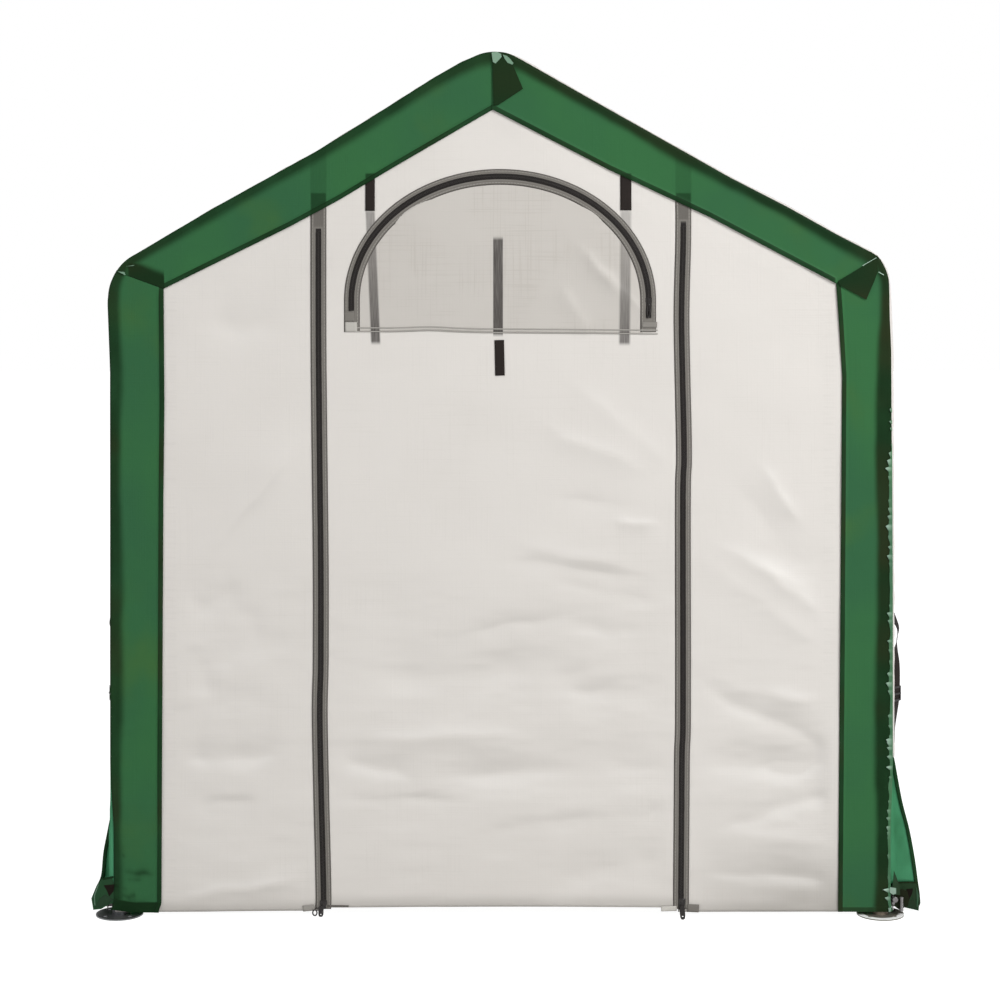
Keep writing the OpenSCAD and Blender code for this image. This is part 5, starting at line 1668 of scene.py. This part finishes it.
fasteners = {                               # profiles are radius, distance along
    "head": [(0.0001, 0.0), (0.0052, 0.0), (0.0056, 0.0006), (0.0056, 0.0034), (0.0048, 0.0042),
             (0.0001, 0.0042)],
    "stem": [(0.0001, 0.0), (0.003, 0.0), (0.003, 0.020), (0.0024, 0.0215), (0.0001, 0.0215)],
    "knob": [(0.0001, 0.0), (0.0066, 0.0), (0.0070, 0.0008), (0.0070, 0.0042), (0.0060, 0.0054),
             (0.0001, 0.0054)],
    "rodFoot": [(0.0001, 0.0), (0.0032, 0.0), (0.0040, 0.0012)],
    "rodTop": [(0.0040, 0.0318), (0.0034, 0.0330), (0.0001, 0.0330)],
    "thread": (0.0040, 0.0006, 0.0016, 0.0011, 27),            # radius, depth, start, pitch, rows
    "clampX": 0.9015,
    "clampY": {rightSide: 1.2025, leftSide: 1.1925},           # the left ones are inside the pocket
    "clampZ": 0.031,
    "stemScale": 1.2,
    "headScale": 1.25,
    "wingHalf": 0.0012,
    "wingAt": (0.005, 0.010),
    "wingFrom": 0.004,
    "wingOut": (0.006, 0.012),
    "bracketOut": 0.0033,
    "ridgeDrop": 0.004,
    "eaveShares": (0.86, 0.5),
    "stud": (0.9205, 1.2205, 0.0120),
    "knobAt": (0.9062, 1.2155, 0.0382),
    "bevel": 0.0003,
}


def wingPatch(x, y, z, end, wing):
    half, (near, far) = fasteners["wingHalf"], fasteners["wingAt"]
    low, (forward, up) = z + wing * fasteners["wingFrom"], fasteners["wingOut"]
    inner = [(x - half, y + end * near, low), (x + half, y + end * near, low),
             (x + half, y + end * far, low), (x - half, y + end * far, low)]
    return boxPatch(inner + [(a, b + end * forward, c + wing * up) for a, b, c in inner])


def makeFasteners():
    m, bolts, studs = fasteners, [], []
    head, stem = m["head"], m["stem"]
    for side in (leftSide, rightSide):
        for end in (frontEnd, rearEnd):     # wing bolts of the base rail clamps
            x, y, z = side * m["clampX"], end * m["clampY"][side], m["clampZ"]
            bolts.append(lathePatch([(r * m["stemScale"], a) for r, a in stem], (x, y, z), (0, end, 0)))
            bolts.append(lathePatch([(r * m["headScale"], a) for r, a in head], (x, y, z), (0, end, 0), 16))
            bolts += [wingPatch(x, y, z, end, wing) for wing in (-1, 1)]
    outShare, upShare = m["eaveShares"]
    eave = (eaveX + bend * outShare, eaveZ + bend * upShare)
    for y, face in ((-ribY, 1), (0, -1), (0, 1), (ribY, -1)):  # screws through the rail brackets
        at = y + face * (tubeR + m["bracketOut"])
        for x, z in ((0, ridgeZ + bend - m["ridgeDrop"]), eave, (-eave[0], eave[1])):
            bolts.append(lathePatch(head, (x, at, z), (0, face, 0), 6))
    makePiece("clamp_and_bracket_bolts", bolts, studFinish, "tube_steel", bevel=m["bevel"], smooth=False)
    radius, depth, begin, pitch, rows = m["thread"]
    thread = [(radius - depth * (i % 2), begin + pitch * i) for i in range(rows)]
    rod = m["rodFoot"] + thread + m["rodTop"]
    (studX, studY, studZ), (knobX, knobY, knobZ) = m["stud"], m["knobAt"]
    for end in (frontEnd, rearEnd):         # clamp stud and knob at the open end of the right-hand hem
        studs.append(lathePatch(rod, (studX, end * studY, studZ), (0, 0, 1)))
        studs.append(lathePatch(m["knob"], (knobX, end * knobY, knobZ), (0, end, 0), 8))
    makePiece("base_rail_studs", studs, studFinish, "tube_steel", bevel=m["bevel"], smooth=False)


makePanels()
makeMainCover()
for side in (leftSide, rightSide):
    makeSkirt(side)
makeTrims()
for side in (leftSide, rightSide):
    makeDoorZip(side)
for end in (frontEnd, rearEnd):
    makeVent(end)
makeEndStraps()
for side in (leftSide, rightSide):
    makeSideStraps(side)
makeFasteners()
print("zips, vents, straps and fasteners made")

tubeNodes = ["front_legs", "middle_legs", "rear_legs", "front_rafters", "middle_rafters", "rear_rafters",
             "eave_elbows", "ridge_elbows", "ridge_rail", "left_eave_rail", "right_eave_rail"]
plateNodes = ["foot_plates", "rail_brackets"]
railNodes = ["left_base_rail", "right_base_rail", "base_rail_clamps"]
for nodes, finish in ((tubeNodes, tubeFinish), (plateNodes, plateFinish), (railNodes, railFinish)):
    for node in nodes:
        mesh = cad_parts[node].data
        mesh.materials.clear()
        mesh.materials.append(finish)

# Floor, light and camera

studio = {
    "world": 0.386,
    "white": (1, 1, 1, 1),
    "floor": (0.86, 0.86, 0.86, 1.0),
    "floorSize": 60,
    "floorGlow": 0.6,
    "glowLevel": 1.6,
    "boxes": {                              # place, aim, size, power
        "key_box": ((3.6, -5.2, 4.4), (0, 0, 0.9), 3.0, 353.0),
        "fill_box": ((-4.6, -4.2, 2.4), (0, 0, 0.9), 3.5, 59.0),
        "top_box": ((-0.6, 1.5, 5.6), (0, 0, 1.0), 4.0, 92.0),
    },
}


def seenDirectly(f):                        # 1 for what the camera, metal and clear things see
    path = f.add("ShaderNodeLightPath", out="Is Camera Ray")
    seen = path.calc("MAXIMUM", path, path.out("Is Glossy Ray"))
    return seen.calc("MAXIMUM", seen, path.out("Is Transmission Ray"))


def makeFloor():
    f = Finish("studio_floor")
    plain = f.add("ShaderNodeBsdfDiffuse", {}, {"Color": studio["floor"]})
    white = f.add("ShaderNodeEmission", {}, {"Color": studio["white"], "Strength": studio["glowLevel"]})
    f.close(f.add("ShaderNodeMixShader", {}, {0: seenDirectly(f) * studio["floorGlow"], 1: plain, 2: white}))
    bpy.ops.mesh.primitive_plane_add(size=studio["floorSize"])
    floor = bpy.context.object
    floor.name = "studio_floor"
    floor.data.materials.append(f.material)


def makeWorld():
    scene.world = bpy.data.worlds.new("studio_world")
    f = Finish("studio_world", scene.world)
    level = f.add("ShaderNodeMapRange", {},
                  {"Value": seenDirectly(f), "To Min": studio["world"], "To Max": 1.0})
    back = f.add("ShaderNodeBackground", {}, {"Color": studio["white"], "Strength": level})
    f.add("ShaderNodeOutputWorld", {}, {"Surface": back})


def softBox(name, place, aim, size, power):
    lamp = bpy.data.lights.new(name, "AREA")
    lamp.shape, lamp.size, lamp.energy = "SQUARE", size, power
    box = bpy.data.objects.new(name, lamp)
    scene.collection.objects.link(box)
    box.location = place
    box.rotation_euler = (Vector(aim) - Vector(place)).to_track_quat("-Z", "Y").to_euler()


camera = {"distance": 5.0, "height": 1.45, "centre": 0.9549, "frame": 2.2926, "sensor": 36.0}


def makeCamera():
    lens = bpy.data.cameras.new("view")
    lens.sensor_fit = "HORIZONTAL"
    lens.sensor_width = camera["sensor"]
    lens.lens = camera["sensor"] * camera["distance"] / camera["frame"]
    lens.shift_y = (camera["centre"] - camera["height"]) / camera["frame"]
    view = bpy.data.objects.new("view", lens)
    scene.collection.objects.link(view)
    view.location = (0, -(wallHigh.y + camera["distance"]), camera["height"])
    view.rotation_euler = (math.pi / 2, 0, 0)
    scene.camera = view


scene.view_settings.view_transform = "Standard"
makeFloor()
makeWorld()
for name, box in studio["boxes"].items():
    softBox(name, *box)
makeCamera()
print("floor, light and camera set")
